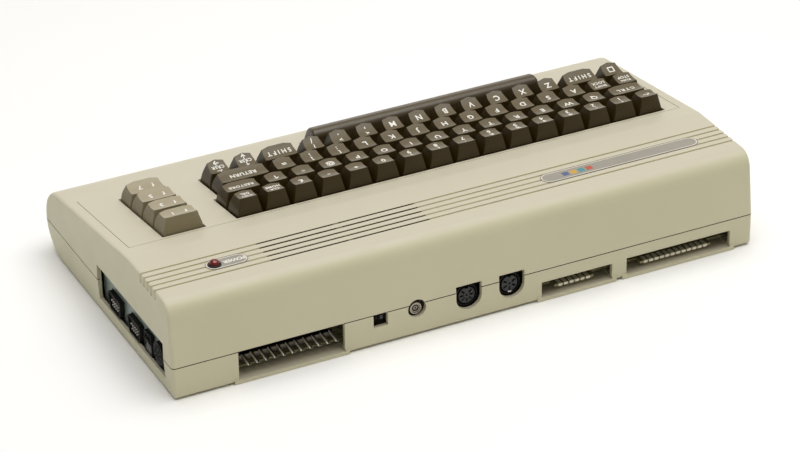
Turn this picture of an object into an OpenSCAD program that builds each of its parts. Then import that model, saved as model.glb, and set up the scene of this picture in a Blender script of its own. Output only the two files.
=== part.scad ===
// Vintage home computer: a wedge-shaped two-piece case with a built-in keyboard.
// Origin: middle of the footprint, on the table. +X is the user's right, -Y the front, +Z up.

/* [Case] */
// Width of the case from side to side
case_w = 404; // [398:1:410]
// Depth of the case from front to rear
case_d = 216; // [213:1:219]
// Height of the joint between the lower and the upper case
seam_z = 23; // [22.5:0.25:24.5]
// Height of the flat top behind the keyboard panel
top_z = 66.2; // [65:0.2:68]
// Depth of the flat top, from the rear wall to where the keyboard panel starts
top_depth = 68; // [64:1:72]
// Slope of the keyboard panel in degrees
panel_tilt = 7.5; // [7:0.1:8]
// Height of the foremost line of the nose
nose_z = 24; // [23:0.5:25]
// Lean of the rear wall between the seam and the top edge
rear_lean = 2.5; // [1.5:0.5:4]
// Radius of the top rear edge
rear_r = 11; // [8:1:13]
// Radius of the edges along the two sides
edge_r = 2.5; // [2:0.25:3.5]
// How far each side leans in between the seam and the top
side_draft = 0.8; // [0.4:0.1:1.4]
// How far each side leans in between the seam and the underside
under_draft = 1; // [0.4:0.1:1.4]
// Thickness of the case walls
wall = 2.8; // [2.6:0.1:3]
// Height of the feet, which is the gap under the case
foot_h = 1; // [0.8:0.1:1.4]
// Diameter of each foot
foot_d = 12; // [9:1:14]

/* [Ribbed band] */
// Distance from the rear wall to the rearmost groove
rib_from_rear = 23.2; // [22.8:0.2:25]
// Spacing of the grooves
rib_pitch = 5.7; // [5.4:0.1:5.8]
// Width of a groove
groove_w = 1.5; // [1.1:0.1:1.9]
// Depth of a groove
groove_depth = 1; // [0.6:0.1:1.3]
// How far the grooves run down the sides
groove_drop = 6.5; // [5:0.5:8]
// Length of one run of vent slots
vent_len = 51.8; // [46:0.2:56]
// Bridge between the two runs of vent slots
vent_bridge = 4; // [3:0.5:6]
// Distance of the first run from the middle of the case
vent_from_mid = 16.6; // [12:0.2:22]
// Width of a vent slot
vent_w = 1; // [0.8:0.1:1.2]

/* [Badge and lamp] */
// Height of the badge plate and the lamp plate, measured along the depth
plate_h = 11.2; // [10:0.2:12]
// Thickness of the plates
plate_t = 0.8; // [0.6:0.1:1]
// Length of the badge plate
badge_len = 112; // [100:1:118]
// Distance of the badge plate's centre to the left of the middle
badge_from_mid = 123.6; // [118:0.2:130]
// Length of the lamp plate
lamp_plate_len = 27; // [24:0.5:30]
// Distance of the lamp to the right of the middle
lamp_from_mid = 157; // [150:0.5:162]
// Diameter of the lamp lens
lamp_d = 5.4; // [4:0.2:6]
// Outer diameter of the lamp bezel
bezel_d = 8.6; // [8:0.2:9.4]

/* [Keyboard] */
// Spacing of the keys
key_u = 19.05; // [18.9:0.05:19.1]
// Gap between neighbouring key caps
key_gap = 1; // [0.8:0.1:1.4]
// Distance from the rear wall to the rear line of the keys
keys_from_rear = 85; // [84:0.2:87]
// Distance of the main key field's centre to the left of the middle
keys_from_mid = 32; // [30:0.1:33]
// Distance of the function keys' centre to the right of the middle
fkeys_from_mid = 156.1; // [154.5:0.1:157.5]
// Clearance round the keys in the panel
opening_gap = 0.9; // [0.7:0.1:1.4]
// Travel of a key
key_travel = 3.8; // [3.2:0.1:4]
// Depth of the cap's rim below the panel surface
cap_sunk = 2.4; // [2:0.1:2.8]
// How much narrower a cap's top is than its base
cap_taper = 7.4; // [6.8:0.2:8]
// Front-to-rear size of a cap's top
cap_top_len = 9.8; // [9.2:0.1:10.4]
// Depth of the dish in a cap's top
dish_depth = 0.8; // [0.5:0.1:1.1]
// Radius of the dish
dish_r = 22; // [18:1:30]
// Wall thickness of a cap
cap_wall = 1.5; // [1.3:0.1:1.8]
// Width of a key's square plunger
plunger_w = 3.6; // [3.2:0.1:4]
// Clearance on each side of a plunger
plunger_gap = 0.25; // [0.2:0.05:0.35]
// Wall of the guide round each plunger
guide_wall = 0.7; // [0.6:0.1:0.8]
// Depth of the keyboard frame's top face below the panel surface
frame_depth = 9.5; // [9:0.5:10]
// Thickness of the keyboard frame
frame_t = 2.5; // [2:0.25:3]
// Wire thickness of a key spring
spring_wire = 0.6; // [0.4:0.1:0.7]
// Width and depth of the fine line round the keyboard panel
line_w = 0.5; // [0.3:0.1:0.8]
// Distance of that line from each side of the case
line_from_side = 7.5; // [6:0.5:9]
// Distance from the rear wall to the line's rear run
line_from_rear = 82; // [80:0.2:83]
// Length of the line's two side runs
line_len = 92; // [86:1:96]

/* [Boards] */
// Thickness of the circuit boards
pcb_t = 1.6; // [1.4:0.1:1.8]
// Height of the pads that carry the main board above the case floor
board_lift = 1.6; // [1.4:0.1:2]
// Gap between the main board and each side of the case
board_gap = 13; // [11:0.5:17]
// Depth of the main board
board_d = 146; // [140:1:150]

/* [Rear ports] */
// Width of the cartridge slot
cart_w = 71.2; // [69:0.2:73]
// Distance of the cartridge slot's centre to the right of the middle
cart_x = 123.1; // [121:0.1:126]
// Number of spring fingers in the cartridge slot
finger_count = 11; // [9:1:12]
// Spacing of the spring fingers
finger_pitch = 5.9; // [5.6:0.1:6]
// Distance of the channel switch to the right of the middle
channel_x = 63; // [62:0.2:65]
// Distance of the antenna jack to the right of the middle
antenna_x = 38; // [36:0.5:40]
// Radius of the antenna jack's sleeve
antenna_r = 4.2; // [4:0.1:4.5]
// Distance of the picture-and-sound socket to the right of the middle
av_x = 2; // [1:0.1:4]
// Distance of the serial socket to the left of the middle
serial_x = 28; // [27:0.5:30]
// Outer radius of a round socket
din_r = 7.6; // [7.2:0.1:8]
// Height of the round sockets' centres
din_z = 17.4; // [17:0.1:18.5]
// Width of the cassette port's opening
cassette_w = 50.4; // [49:0.2:53]
// Distance of the cassette port's centre to the left of the middle
cassette_x = 74.3; // [73:0.1:76]
// Width of the user port's opening
user_w = 75.7; // [75:0.1:79]
// Distance of the user port's centre to the left of the middle
user_x = 147.8; // [147:0.1:150]
// Height of the cassette opening's top edge
cassette_top_z = 13.7; // [13.5:0.1:15]
// Height of the user opening's top edge
user_top_z = 14.7; // [14:0.1:16]

/* [Side ports] */
// Length of the recess in the right-hand side
recess_len = 109.5; // [102:0.5:112]
// Distance from the rear wall to the recess
recess_from_rear = 14; // [13:0.5:16]
// Height of the recess's lower edge
recess_z0 = 9.3; // [8.5:0.1:10]
// Height of the recess's upper edge
recess_z1 = 33.8; // [32:0.2:35]
// Length of a control port's shell
joy_len = 21.5; // [20:0.5:22.5]
// Height of a control port's shell
joy_h = 12.4; // [10:0.2:12.6]
// Height of the control ports' centres
joy_z = 15.7; // [15:0.1:16.2]
// Distance from the rear wall to the front control port
joy_front_y = 100.2; // [99:0.2:101]
// Spacing of the two control ports
joy_pitch = 32.8; // [32:0.2:33.6]
// Gap between the case's side and the plate behind the recess
side_plate_gap = 2; // [0.5:0.5:3]
// Distance from the rear wall to the power switch
switch_y = 45.4; // [45:0.2:46]
// Distance from the rear wall to the power socket
power_y = 27.2; // [26.6:0.2:28]

/* [Hidden] */

case_colour = "#d3cab2";
key_colour = "#453c2d";
fkey_colour = "#857a63";
black_colour = "#1d1c1b";
metal_colour = "#b9bab8";
board_colour = "#3f6b3d";
plate_colour = "#a6a197";

eps = 0.01;
clear = 0.2;
far = 60;
arc_fn = 40;
round_fn = 64;

// Case outline in the YZ plane
rear_y = case_d / 2;
front_y = -case_d / 2;
side_x = case_w / 2;
ridge_y = rear_y - top_depth;
ridge_r = 12;
low_edge_r = 2.5;
corner_r = 2;
corner_min = 0.5;
under_taper = 0.6;
sin_tilt = sin(panel_tilt);
cos_tilt = cos(panel_tilt);
nose_top_r = ((top_z - nose_z) * cos_tilt - (case_d / 2 + ridge_y) * sin_tilt) / (1 - sin_tilt);
nose_low_r = nose_z - foot_h;
inner_x = side_x - wall;
inner_rear_y = rear_y - wall;
floor_z = foot_h + wall;

// Ribbed band, plates and lamp
rib_count = 5;
rib_y0 = rear_y - rib_from_rear - (rib_count - 1) * rib_pitch;
plate_y = rib_y0 + (rib_count - 1) / 2 * rib_pitch;
plate_play = 0.3;
plate_z0 = top_z - plate_t;
lamp_plate_x = lamp_from_mid + plate_h / 2 - lamp_plate_len / 2;
lamp_body_len = 9;
bezel_h = 2;

// Keyboard, in its own frame: origin on the panel at the keys' rear line, z along the keys' travel
keys_y = rear_y - keys_from_rear;
keys_x = -keys_from_mid;
row_tops = [
  [12.4, 12.8, cap_top_len - 0.4, 0.5], [10.6, 11.8, cap_top_len, 0.5],
  [9.5, 12.2, cap_top_len + 0.3, 0.7], [9.6, 14, cap_top_len - 1.2, 1.1]
];
frow_tops = [
  [11.8, 11.9, cap_top_len + 1, 0.9], [10.8, 11.9, cap_top_len + 1, 0.8],
  [9.9, 11.9, cap_top_len + 1, 0.7], [9, 12, cap_top_len + 1, 0.7]
];
cap_base_z = -cap_sunk;
cap_ref_z = 14;
cap_top_shrink = 1.2;
rear_flat = 3.9;
front_flat = 9.3;
flat_out = 6;
flat_h = 20;
plunger_end_z = -frame_depth - frame_t + 0.1;
guide_top_z = -2.8;
collar_z = guide_top_z + key_travel + 0.9;
collar_t = 1.2;
collar_w = 10;
stem_top_gap = 1.4;
spring_seat_gap = 0.1;
guide_w = plunger_w + 2 * (plunger_gap + guide_wall);
spring_in_r = guide_w / 2 * sqrt(2) + 0.1;
spring_out_r = spring_in_r + spring_wire;
board_top_z = plunger_end_z - key_travel - 0.6;
left_u = -8.25;
space_u0 = -5.43;
space_u1 = 3.57;
space_top_z = 13.4;
space_r = 5;
space_rear_in = 5.4;
space_front_in = 8.5;
space_front_drop = 0.6;
space_plungers = [space_u0 + 1, (space_u0 + space_u1) / 2, space_u1 - 1];
frame_end_gap = 10.2;
frame_x0 = -inner_x + 1.5 - keys_x;
frame_x1 = inner_x - frame_end_gap - keys_x;
frame_y0 = -5 * key_u - 3;
frame_y1 = 10.5;
fkeys_x = fkeys_from_mid - keys_x;
boss_r = 3.4;
boss_from_end = 7.9;
boss_xs = [-inner_x + boss_from_end - keys_x, 8.6 * key_u, frame_x1 - boss_from_end];
boss_ys = [4.5, -86];
cable_x = keys_x - 85;
cable_y = keys_y - 37.4;
cable_w = 25.4;
cable_t = 1;
pilot_r = 1.3;
screw_r = 1.2;
screw_head_r = 2.9;
screw_head_h = 1.8;

// Main board and what stands on it
board_w = case_w - 2 * board_gap;
board_z = floor_z + board_lift;
board_top = board_z + pcb_t;
board_y1 = rear_y - 10;
board_y0 = board_y1 - board_d;
board_x0 = -board_w / 2 + 2;
board_x1 = board_x0 + board_w;
tongue_y = rear_y - 4.6;
cassette_tongue_w = 28;
user_tongue_w = 51.5;
pin_pitch = 2.54;
pin_t = 0.6;
pin_h = 2.4;
dip_lift = 0.8;
dip_h = 3.6;
dip_end = 1.6;
narrow_dip = 8;
wide_dip = 16;
memory_pins = 8;
memory_cols = [0.064, 0.133, 0.202, 0.271];
memory_rows = [26, 40];
processor_pins = 20;
processor_spots = [[0.39, 24], [0.543, 24], [0.39, 52], [0.543, 52], [0.697, 52]];
logic_pins = 10;
logic_cols = [0.085, 0.175, 0.265, 0.355];
logic_y = 84;
capacitor_spots = [[36, 66, 8, 22], [60, 66, 6.5, 18], [60, 48, 5, 14], [76, 66, 5, 14]];
sink_x = 84;
sink_y = 18;
sink_size = [66, 12, 16];
sink_t = 3;
sink_gaps = 9;
fuse_x = 30;
fuse_y = 44;
fuse_z = 4.6;
fuse_r = 2.6;
fuse_len = 19.4;
fuse_clip = 2.4;
case_boss_y = front_y + 13;
case_boss_xs = [-side_x + 52, 0, side_x - 52];
case_boss_r = 4;
board_screw_pts = [
  [board_x0 + 8, board_y0 + 8], [board_x1 - 8, board_y0 + 8], [board_x0 + 8, board_y1 - 22],
  [0, board_y0 + 8], [antenna_x + 42, board_y1 - 12]
];

// Rear ports
tray_z0 = 0.2;
tray_floor = 2.4;
tray_wall = 3;
tray_depth = 24;
can_x0 = antenna_x - 12;
can_x1 = channel_x + 10;
can_y0 = board_y1 - 40;
can_y1 = rear_y - 8.5;
can_h = 19.5;
can_t = 0.8;
antenna_z = 18.6;
antenna_hole_z = seam_z - 3.4;
antenna_hole_r = 6.2;
antenna_pin_r = 1.7;
antenna_end_y = rear_y - 2.2;
channel_hole_w = 9.8;
channel_hole_z0 = 13.6;
channel_slot_h = 6;
channel_slide = 3.5;
channel_depth = 7;
channel_proud = 1.2;
channel_t = 0.8;
slider_depth = 3.8;
slider_h = 2.8;
slider_knob = 2;
din_hole_r = 8.9;
din_hole_top = seam_z + 3.8;
din_face_y = rear_y - 4;
din_body_w = 17.5;
din_body_d = 14;
din_nose = 4;
din_rim = 0.9;
din_pin_r = 0.75;
din_pin_ring = 3.4;
din_pin_depth = 8;
din_key_r = 1.1;
connector_w = finger_count * finger_pitch + 2;
connector_h = 10;
connector_d = 14;
connector_y1 = rear_y - 15;
finger_w = 2.6;
finger_t = 0.4;

// Side ports
recess_y1 = rear_y - recess_from_rear;
recess_y0 = recess_y1 - recess_len;
side_plate_t = 1.6;
side_plate_x1 = inner_x - side_plate_gap;
side_plate_x0 = side_plate_x1 - side_plate_t;
socket_face_x = side_x - 1.7;
joy_ys = [rear_y - joy_front_y, rear_y - joy_front_y + joy_pitch];
joy_slope = 10;
joy_pin_drop = 0.7;
joy_pin_in = 0.3;
joy_pin_root = 5;
switch_w = 11.6;
switch_h = 14.4;
switch_z = 16.6;
rocker_w = 8.2;
rocker_h = 9.6;
rocker_lean = 9;
rocker_play = 0.3;
rocker_pivot_x = socket_face_x - 6;
rocker_tail = 1.6;
rocker_neck = 3.2;
rocker_face = 6.2;
rocker_dip = 1.2;
rocker_axle_r = 0.9;
power_z = 19.4;

function panel_z(y) = top_z + (y - ridge_y) * sin_tilt / cos_tilt;

// Places children in the keyboard's frame
module on_panel() {
  translate([keys_x, keys_y, panel_z(keys_y)]) rotate([panel_tilt, 0, 0]) children();
}

// Extrudes a YZ outline along X, centred on the middle of the case
module across(width) {
  rotate([90, 0, 90]) linear_extrude(width, center = true) children();
}

// A box from its low corner to its high corner
module block(low, high) {
  translate(low) cube(high - low);
}

// A stadium-shaped plate cut or pad with true round ends, z from z0 up
module stadium_pad(len, h, z0, t) {
  translate([0, 0, z0]) {
    for (s = [-1, 1]) translate([s * (len - h) / 2, 0, 0]) cylinder(t, r = h / 2, $fn = round_fn);
    translate([-(len - h) / 2, -h / 2, 0]) cube([len - h, h, t]);
  }
}

// Points along an arc about (y, z), from angle a0 to a1 in equal steps
function arc(y, z, r, a0, a1, steps) =
  [for (i = [0 : steps]) let (a = a0 + (a1 - a0) * i / steps) [y + r * cos(a), z + r * sin(a)]];

// Side outline of the case, moved inwards by inset above and by low along the bottom
function outline_points(inset, low) = let (r = max(corner_r, low + corner_min)) concat(
  arc(front_y + nose_top_r, nose_z, nose_top_r - inset, 90 + panel_tilt, 180, 12),
  arc(front_y + nose_low_r, nose_z, nose_low_r - low, 187.5, 270, 10),
  arc(rear_y - under_taper - r, foot_h + r, r - low, 270, 355, 4),
  [[rear_y - inset, seam_z]],
  arc(rear_y - rear_lean - rear_r, top_z - rear_r, rear_r - inset, 5, 90, 8),
  arc(ridge_y + ridge_r * tan(panel_tilt / 2), top_z - ridge_r, ridge_r - inset, 90, 90 + panel_tilt, 3)
);

module case_outline(inset, low) {
  polygon(outline_points(inset, low));
}

// Solid case shape with rounded side edges
module case_body() {
  hull() {
    for (turn = [0, 30, 60, 90])
      across(case_w - 2 * edge_r * (1 - cos(turn)))
        case_outline(edge_r * (1 - sin(turn)), low_edge_r * (1 - sin(turn)));
  }
}

// What comes off each side above the seam, so that the side leans in
module side_lean() {
  lean = atan(side_draft / (top_z - seam_z));
  for (s = [0, 1]) mirror([s, 0, 0]) translate([side_x, -case_d, seam_z]) rotate([0, -lean, 0])
    cube([far, 2 * case_d, far]);
}

// What comes off each side below the seam, so that the lower case leans in too
module under_lean() {
  lean = atan(under_draft / (seam_z - foot_h));
  for (s = [0, 1]) mirror([s, 0, 0]) translate([side_x, -case_d, seam_z]) rotate([0, lean, 0])
    translate([0, 0, -far]) cube([far, 2 * case_d, far]);
}

// Hollow of the case
module case_hollow() {
  across(case_w - 2 * wall) case_outline(wall, wall);
}

// Openings that both case halves share: round ports and the side recess
module shared_openings() {
  translate([antenna_x, rear_y + 1, antenna_hole_z]) rotate([90, 0, 0])
    cylinder(tray_depth, r = antenna_hole_r, $fn = round_fn);
  for (x = [av_x, -serial_x]) {
    translate([x, rear_y + 1, din_hole_top - din_hole_r]) rotate([90, 0, 0])
      cylinder(wall + 3, r = din_hole_r, $fn = round_fn);
    block([x - din_hole_r, rear_y - wall - 2, din_hole_top - din_hole_r],
          [x + din_hole_r, rear_y + 1, din_hole_top]);
  }
  block([inner_x - 1, recess_y0, recess_z0], [side_x + 1, recess_y1, recess_z1]);
}

// One groove of the ribbed band, cut round the top and down both sides
module rib_groove(y) {
  translate([0, y + groove_w / 2, 0]) rotate([90, 0, 0]) linear_extrude(groove_w)
    difference() {
      translate([-side_x - 5, top_z - groove_drop]) square([case_w + 10, groove_drop + 5]);
      translate([0, top_z - groove_depth - edge_r]) union() {
        for (s = [-1, 1]) translate([s * (side_x - groove_depth - edge_r), 0])
          circle(edge_r, $fn = round_fn);
        translate([-side_x + groove_depth, -far]) square([case_w - 2 * groove_depth, far]);
        translate([-side_x + groove_depth + edge_r, -far])
          square([case_w - 2 * (groove_depth + edge_r), far + edge_r]);
      }
    }
}

// Clearance for the keys, cut square to the panel
module key_openings() {
  on_panel() {
    g = opening_gap - key_gap / 2;
    block([-8 * key_u - g, -2 * key_u - g, -far / 4], [8 * key_u + g, g, far / 4]);
    block([left_u * key_u - g, -4 * key_u - g, -far / 4],
          [(left_u + 16) * key_u + g, -2 * key_u + g, far / 4]);
    block([space_u0 * key_u - g, -5 * key_u - g, -far / 4],
          [space_u1 * key_u + g, -4 * key_u, far / 4]);
    block([fkeys_x - 0.75 * key_u - g, -4 * key_u - g, -far / 4],
          [fkeys_x + 0.75 * key_u + g, g, far / 4]);
  }
}

// Fine line round the keyboard panel, open at the front
module panel_line() {
  line_x = side_x - line_from_side;
  translate([0, rear_y - line_from_rear, panel_z(rear_y - line_from_rear)]) rotate([panel_tilt, 0, 0]) {
    block([-line_x, -line_w, -line_w], [line_x, 0, far / 4]);
    for (x = [-line_x, line_x - line_w]) block([x, -line_len, -line_w], [x + line_w, 0, far / 4]);
  }
}

module top_case() color(case_colour) {
  difference() {
    union() {
      difference() {
        intersection() {
          case_body();
          block([-side_x - 1, front_y - 1, seam_z], [side_x + 1, rear_y + 1, top_z + 1]);
        }
        case_hollow();
      }
      on_panel() for (x = boss_xs, y = boss_ys)
        translate([x, y, -frame_depth]) cylinder(frame_depth - wall / 2, r = boss_r, $fn = round_fn);
      for (x = case_boss_xs) intersection() {
        translate([x, case_boss_y, seam_z]) cylinder(far, r = case_boss_r, $fn = round_fn);
        across(case_w) case_outline(wall / 2, wall / 2);
      }
    }
    side_lean();
    for (i = [0 : rib_count - 1]) rib_groove(rib_y0 + i * rib_pitch);
    for (i = [0 : rib_count - 1], x = [vent_from_mid, vent_from_mid + vent_len + vent_bridge])
      translate([x, rib_y0 + i * rib_pitch - vent_w / 2, top_z - far / 4])
        cube([vent_len, vent_w, far / 2]);
    key_openings();
    panel_line();
    on_panel() for (x = boss_xs, y = boss_ys)
      translate([x, y, -frame_depth - 1]) cylinder(frame_depth - 1, r = pilot_r, $fn = round_fn);
    for (x = case_boss_xs) translate([x, case_boss_y, seam_z - 1])
      cylinder(13, r = pilot_r, $fn = round_fn);
    translate([-badge_from_mid, plate_y, 0])
      stadium_pad(badge_len + 2 * plate_play, plate_h + 2 * plate_play, plate_z0, far);
    translate([lamp_plate_x, plate_y, 0])
      stadium_pad(lamp_plate_len + 2 * plate_play, plate_h + 2 * plate_play, plate_z0, far);
    translate([lamp_from_mid, plate_y, top_z - 10])
      cylinder(far, r = bezel_d / 2 - 0.8, $fn = round_fn);
    shared_openings();
  }
}

// A port's tray under the rear wall: outer shell, before its opening is cut
module tray_shell(x, w) {
  block([x - w / 2 - tray_wall, inner_rear_y - tray_depth, tray_z0],
        [x + w / 2 + tray_wall, rear_y, floor_z + eps]);
}

// The opening of a port in the rear wall, above its tray
module tray_cut(x, w, top_z) {
  block([x - w / 2, inner_rear_y - tray_depth + tray_wall, tray_z0 + tray_floor],
        [x + w / 2, rear_y + 1, top_z]);
}

module bottom_case() color(case_colour) {
  difference() {
    union() {
      difference() {
        intersection() {
          case_body();
          block([-side_x - 1, front_y - 1, 0], [side_x + 1, rear_y + 1, seam_z]);
        }
        case_hollow();
      }
      tray_shell(cart_x, cart_w);
      tray_shell(-cassette_x, cassette_w);
      tray_shell(-user_x, user_w);
      for (p = board_screw_pts) translate([p[0], p[1], floor_z - eps])
        cylinder(board_lift + eps, r = case_boss_r, $fn = round_fn);
      for (x = case_boss_xs) translate([x, case_boss_y, foot_h + 1])
        cylinder(seam_z - foot_h - 1, r = case_boss_r, $fn = round_fn);
    }
    tray_cut(cart_x, cart_w, seam_z + 1);
    tray_cut(-cassette_x, cassette_w, cassette_top_z);
    tray_cut(-user_x, user_w, user_top_z);
    block([channel_x - channel_hole_w / 2, inner_rear_y - 2, channel_hole_z0],
          [channel_x + channel_hole_w / 2, rear_y + 1, seam_z + 1]);
    for (p = board_screw_pts) translate([p[0], p[1], foot_h + 0.8])
      cylinder(far / 4, r = pilot_r, $fn = round_fn);
    for (x = case_boss_xs) translate([x, case_boss_y, foot_h - 1]) {
      cylinder(far, r = screw_r + clear, $fn = round_fn);
      cylinder(4, r = screw_head_r + clear, $fn = round_fn);
    }
    shared_openings();
    under_lean();
  }
}

module rubber_feet() color(black_colour) {
  for (x = [-side_x + 30, side_x - 30], y = [front_y + 36, rear_y - 44])
    translate([x, y, 0]) cylinder(foot_h, r1 = foot_d / 2 - 0.8, r2 = foot_d / 2, $fn = round_fn);
}

// A pan-head screw, head down at z = 0, shank pointing up
module screw(len) {
  cylinder(screw_head_h, r = screw_head_r, $fn = round_fn);
  translate([0, 0, screw_head_h - eps]) cylinder(len + eps, r = screw_r, $fn = round_fn);
}

module case_screws() color(metal_colour) {
  for (x = case_boss_xs) translate([x, case_boss_y, foot_h + 3 - screw_head_h])
    screw(seam_z + 10 - foot_h - 3);
}

module main_board() color(board_colour) {
  difference() {
    union() {
      block([board_x0, board_y0, board_z], [board_x1, board_y1, board_top]);
      block([-cassette_x - cassette_tongue_w / 2, board_y1 - eps, board_z],
            [-cassette_x + cassette_tongue_w / 2, tongue_y, board_top]);
      block([-user_x - user_tongue_w / 2, board_y1 - eps, board_z],
            [-user_x + user_tongue_w / 2, tongue_y, board_top]);
    }
    for (x = [-cassette_x + 4, -user_x + 20.5, -user_x - 17])
      block([x - 0.6, board_y1 + 1, board_z - 1], [x + 0.6, rear_y, board_top + 1]);
    for (p = board_screw_pts) translate([p[0], p[1], board_z - 1])
      cylinder(pcb_t + 2, r = screw_r + clear, $fn = round_fn);
  }
}

module board_screws() color(metal_colour) {
  for (p = board_screw_pts) translate([p[0], p[1], board_top + screw_head_h])
    mirror([0, 0, 1]) screw(pcb_t + board_lift + 1);
}

// A dual in-line package on the board: x, y of its centre, the pins a side and its width over the pins
module dip(x, y, pins, w) {
  len = pins * pin_pitch;
  block([x - len / 2, y - w / 2 + pin_t, board_top + dip_lift],
        [x + len / 2, y + w / 2 - pin_t, board_top + dip_lift + dip_h]);
  for (s = [-1, 1]) translate([x, y + s * (w - pin_t) / 2, board_top + pin_h / 2])
    cube([len - dip_end, pin_t + eps, pin_h], center = true);
}

module chips() color(black_colour) {
  for (u = memory_cols, y = memory_rows)
    dip(board_x0 + u * board_w, board_y0 + y, memory_pins, narrow_dip);
  for (p = processor_spots)
    dip(board_x0 + p[0] * board_w, board_y0 + p[1], processor_pins, wide_dip);
  for (u = logic_cols) dip(board_x0 + u * board_w, board_y0 + logic_y, logic_pins, narrow_dip);
}

module capacitors() color("#2b3e63") {
  for (p = capacitor_spots) translate([board_x1 - p[0], board_y0 + p[1], board_top])
    cylinder(p[3], r = p[2], $fn = round_fn);
}

module heat_sink() color(metal_colour) {
  fin_pitch = (sink_size[0] - sink_t) / sink_gaps;
  translate([board_x1 - sink_x, board_y0 + sink_y, board_top]) difference() {
    cube(sink_size);
    for (i = [0 : sink_gaps - 1]) translate([sink_t + i * fin_pitch, sink_t, sink_t])
      cube([fin_pitch - sink_t, sink_size[1], sink_size[2]]);
  }
}

module fuse() color("#d9dcdc") {
  translate([board_x1 - fuse_x, board_y0 + fuse_y, board_top]) {
    for (x = [0, fuse_len - fuse_clip]) translate([x, -fuse_r, 0])
      cube([fuse_clip, 2 * fuse_r, fuse_z]);
    translate([-1, 0, fuse_z]) rotate([0, 90, 0]) cylinder(fuse_len + 2, r = fuse_r, $fn = round_fn);
  }
}

module modulator_can() color(metal_colour) {
  difference() {
    block([can_x0, can_y0, board_top], [can_x1, can_y1, board_top + can_h]);
    block([can_x0 + can_t, can_y0 + can_t, board_top - 1],
          [can_x1 - can_t, can_y1 - can_t, board_top + can_h - can_t]);
    translate([antenna_x, can_y1 + 1, antenna_z]) rotate([90, 0, 0])
      cylinder(3, r = antenna_r + 0.02, $fn = round_fn);
    block([channel_x - channel_hole_w / 2 - clear, can_y1 - 2, antenna_z - channel_slot_h / 2 - clear],
          [channel_x + channel_hole_w / 2 + clear, can_y1 + 1, antenna_z + channel_slot_h / 2 + clear]);
  }
}

module antenna_jack() color(metal_colour) {
  translate([antenna_x, 0, antenna_z]) difference() {
    union() {
      translate([0, antenna_end_y, 0]) rotate([90, 0, 0])
        cylinder(antenna_end_y - can_y1 + 4, r = antenna_r, $fn = round_fn);
      translate([0, can_y1 + 1, 0]) rotate([90, 0, 0])
        cylinder(1, r = antenna_r + 1, $fn = round_fn);
    }
    translate([0, antenna_end_y + 1, 0]) rotate([90, 0, 0])
      cylinder(9, r = antenna_pin_r, $fn = round_fn);
  }
}

module channel_switch() color(black_colour) {
  difference() {
    block([channel_x - channel_hole_w / 2, can_y1 - channel_depth, antenna_z - channel_slot_h / 2],
          [channel_x + channel_hole_w / 2, can_y1 + channel_proud, antenna_z + channel_slot_h / 2]);
    block([channel_x - channel_hole_w / 2 + channel_t, can_y1 - slider_depth - clear,
           antenna_z - slider_h / 2 - clear],
          [channel_x + channel_hole_w / 2 - channel_t, can_y1 + channel_proud + 1,
           antenna_z + slider_h / 2 + clear]);
  }
}

module channel_slider() color("#3a3836") {
  x0 = channel_x - channel_hole_w / 2 + channel_t + clear;
  w = channel_hole_w - 2 * (channel_t + clear) - channel_slide;
  block([x0, can_y1 - slider_depth, antenna_z - slider_h / 2], [x0 + w, can_y1, antenna_z + slider_h / 2]);
  block([x0 + (w - slider_knob) / 2, can_y1 - eps, antenna_z - slider_h / 2],
        [x0 + (w + slider_knob) / 2, rear_y - 3, antenna_z + slider_h / 2]);
}

// A round multi-pole socket facing +Y: square housing, round nose with pin holes
module din_socket(x, poles, spread) {
  translate([x, 0, din_z]) difference() {
    union() {
      block([-din_body_w / 2, din_face_y - din_body_d, board_top - din_z],
            [din_body_w / 2, din_face_y - din_nose + 1, din_r]);
      translate([0, din_face_y, 0]) rotate([90, 0, 0]) cylinder(din_nose, r = din_r, $fn = round_fn);
    }
    translate([0, din_face_y + 1, 0]) rotate([90, 0, 0]) difference() {
      cylinder(din_nose, r = din_r - din_rim, $fn = round_fn);
      translate([0, 0, -1]) cylinder(din_nose + 2, r = din_r - din_rim - 1, $fn = round_fn);
    }
    for (i = [0 : poles - 1]) rotate([0, -90 + (i - (poles - 1) / 2) * spread, 0])
      translate([din_pin_ring, din_face_y + 1, 0]) rotate([90, 0, 0])
        cylinder(din_pin_depth, r = din_pin_r, $fn = 24);
    translate([0, din_face_y + 1, din_r - 2]) rotate([90, 0, 0])
      cylinder(din_nose, r = din_key_r, $fn = 24);
  }
}

module av_socket() color(black_colour) din_socket(av_x, 5, 45);
module serial_socket() color(black_colour) din_socket(-serial_x, 5, 60);

module power_socket() color(black_colour) {
  translate([0, rear_y - power_y, power_z]) difference() {
    union() {
      block([side_plate_x0 - 14, -din_body_w / 2, board_top - power_z],
            [side_plate_x0 - clear, din_body_w / 2, din_r]);
      translate([side_plate_x0 - 1, 0, 0]) rotate([0, 90, 0])
        cylinder(socket_face_x - side_plate_x0 + 1, r = din_r, $fn = round_fn);
    }
    for (i = [0 : 6]) rotate([-180 + (i - 3) * 45, 0, 0])
      translate([socket_face_x + 1, 0, din_pin_ring]) rotate([0, -90, 0])
        cylinder(din_pin_depth, r = din_pin_r, $fn = 24);
  }
}

module power_switch() color(black_colour) {
  translate([0, rear_y - switch_y, switch_z]) difference() {
    union() {
      block([side_plate_x0 - 16, -switch_w / 2 + 1, board_top - switch_z],
            [side_plate_x0, switch_w / 2 - 1, switch_h / 2 - 1]);
      block([side_plate_x0 - eps, -switch_w / 2 + 1, -switch_h / 2 + 1],
            [side_plate_x1 + 0.6, switch_w / 2 - 1, switch_h / 2 - 1]);
      block([side_plate_x1 + 0.1, -switch_w / 2, -switch_h / 2],
            [socket_face_x - 0.6, switch_w / 2, switch_h / 2]);
    }
    block([side_plate_x0 - 8, -rocker_w / 2 - rocker_play, -rocker_h / 2 - 1.2],
          [socket_face_x + 1, rocker_w / 2 + rocker_play, rocker_h / 2 + 1.2]);
  }
}

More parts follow.
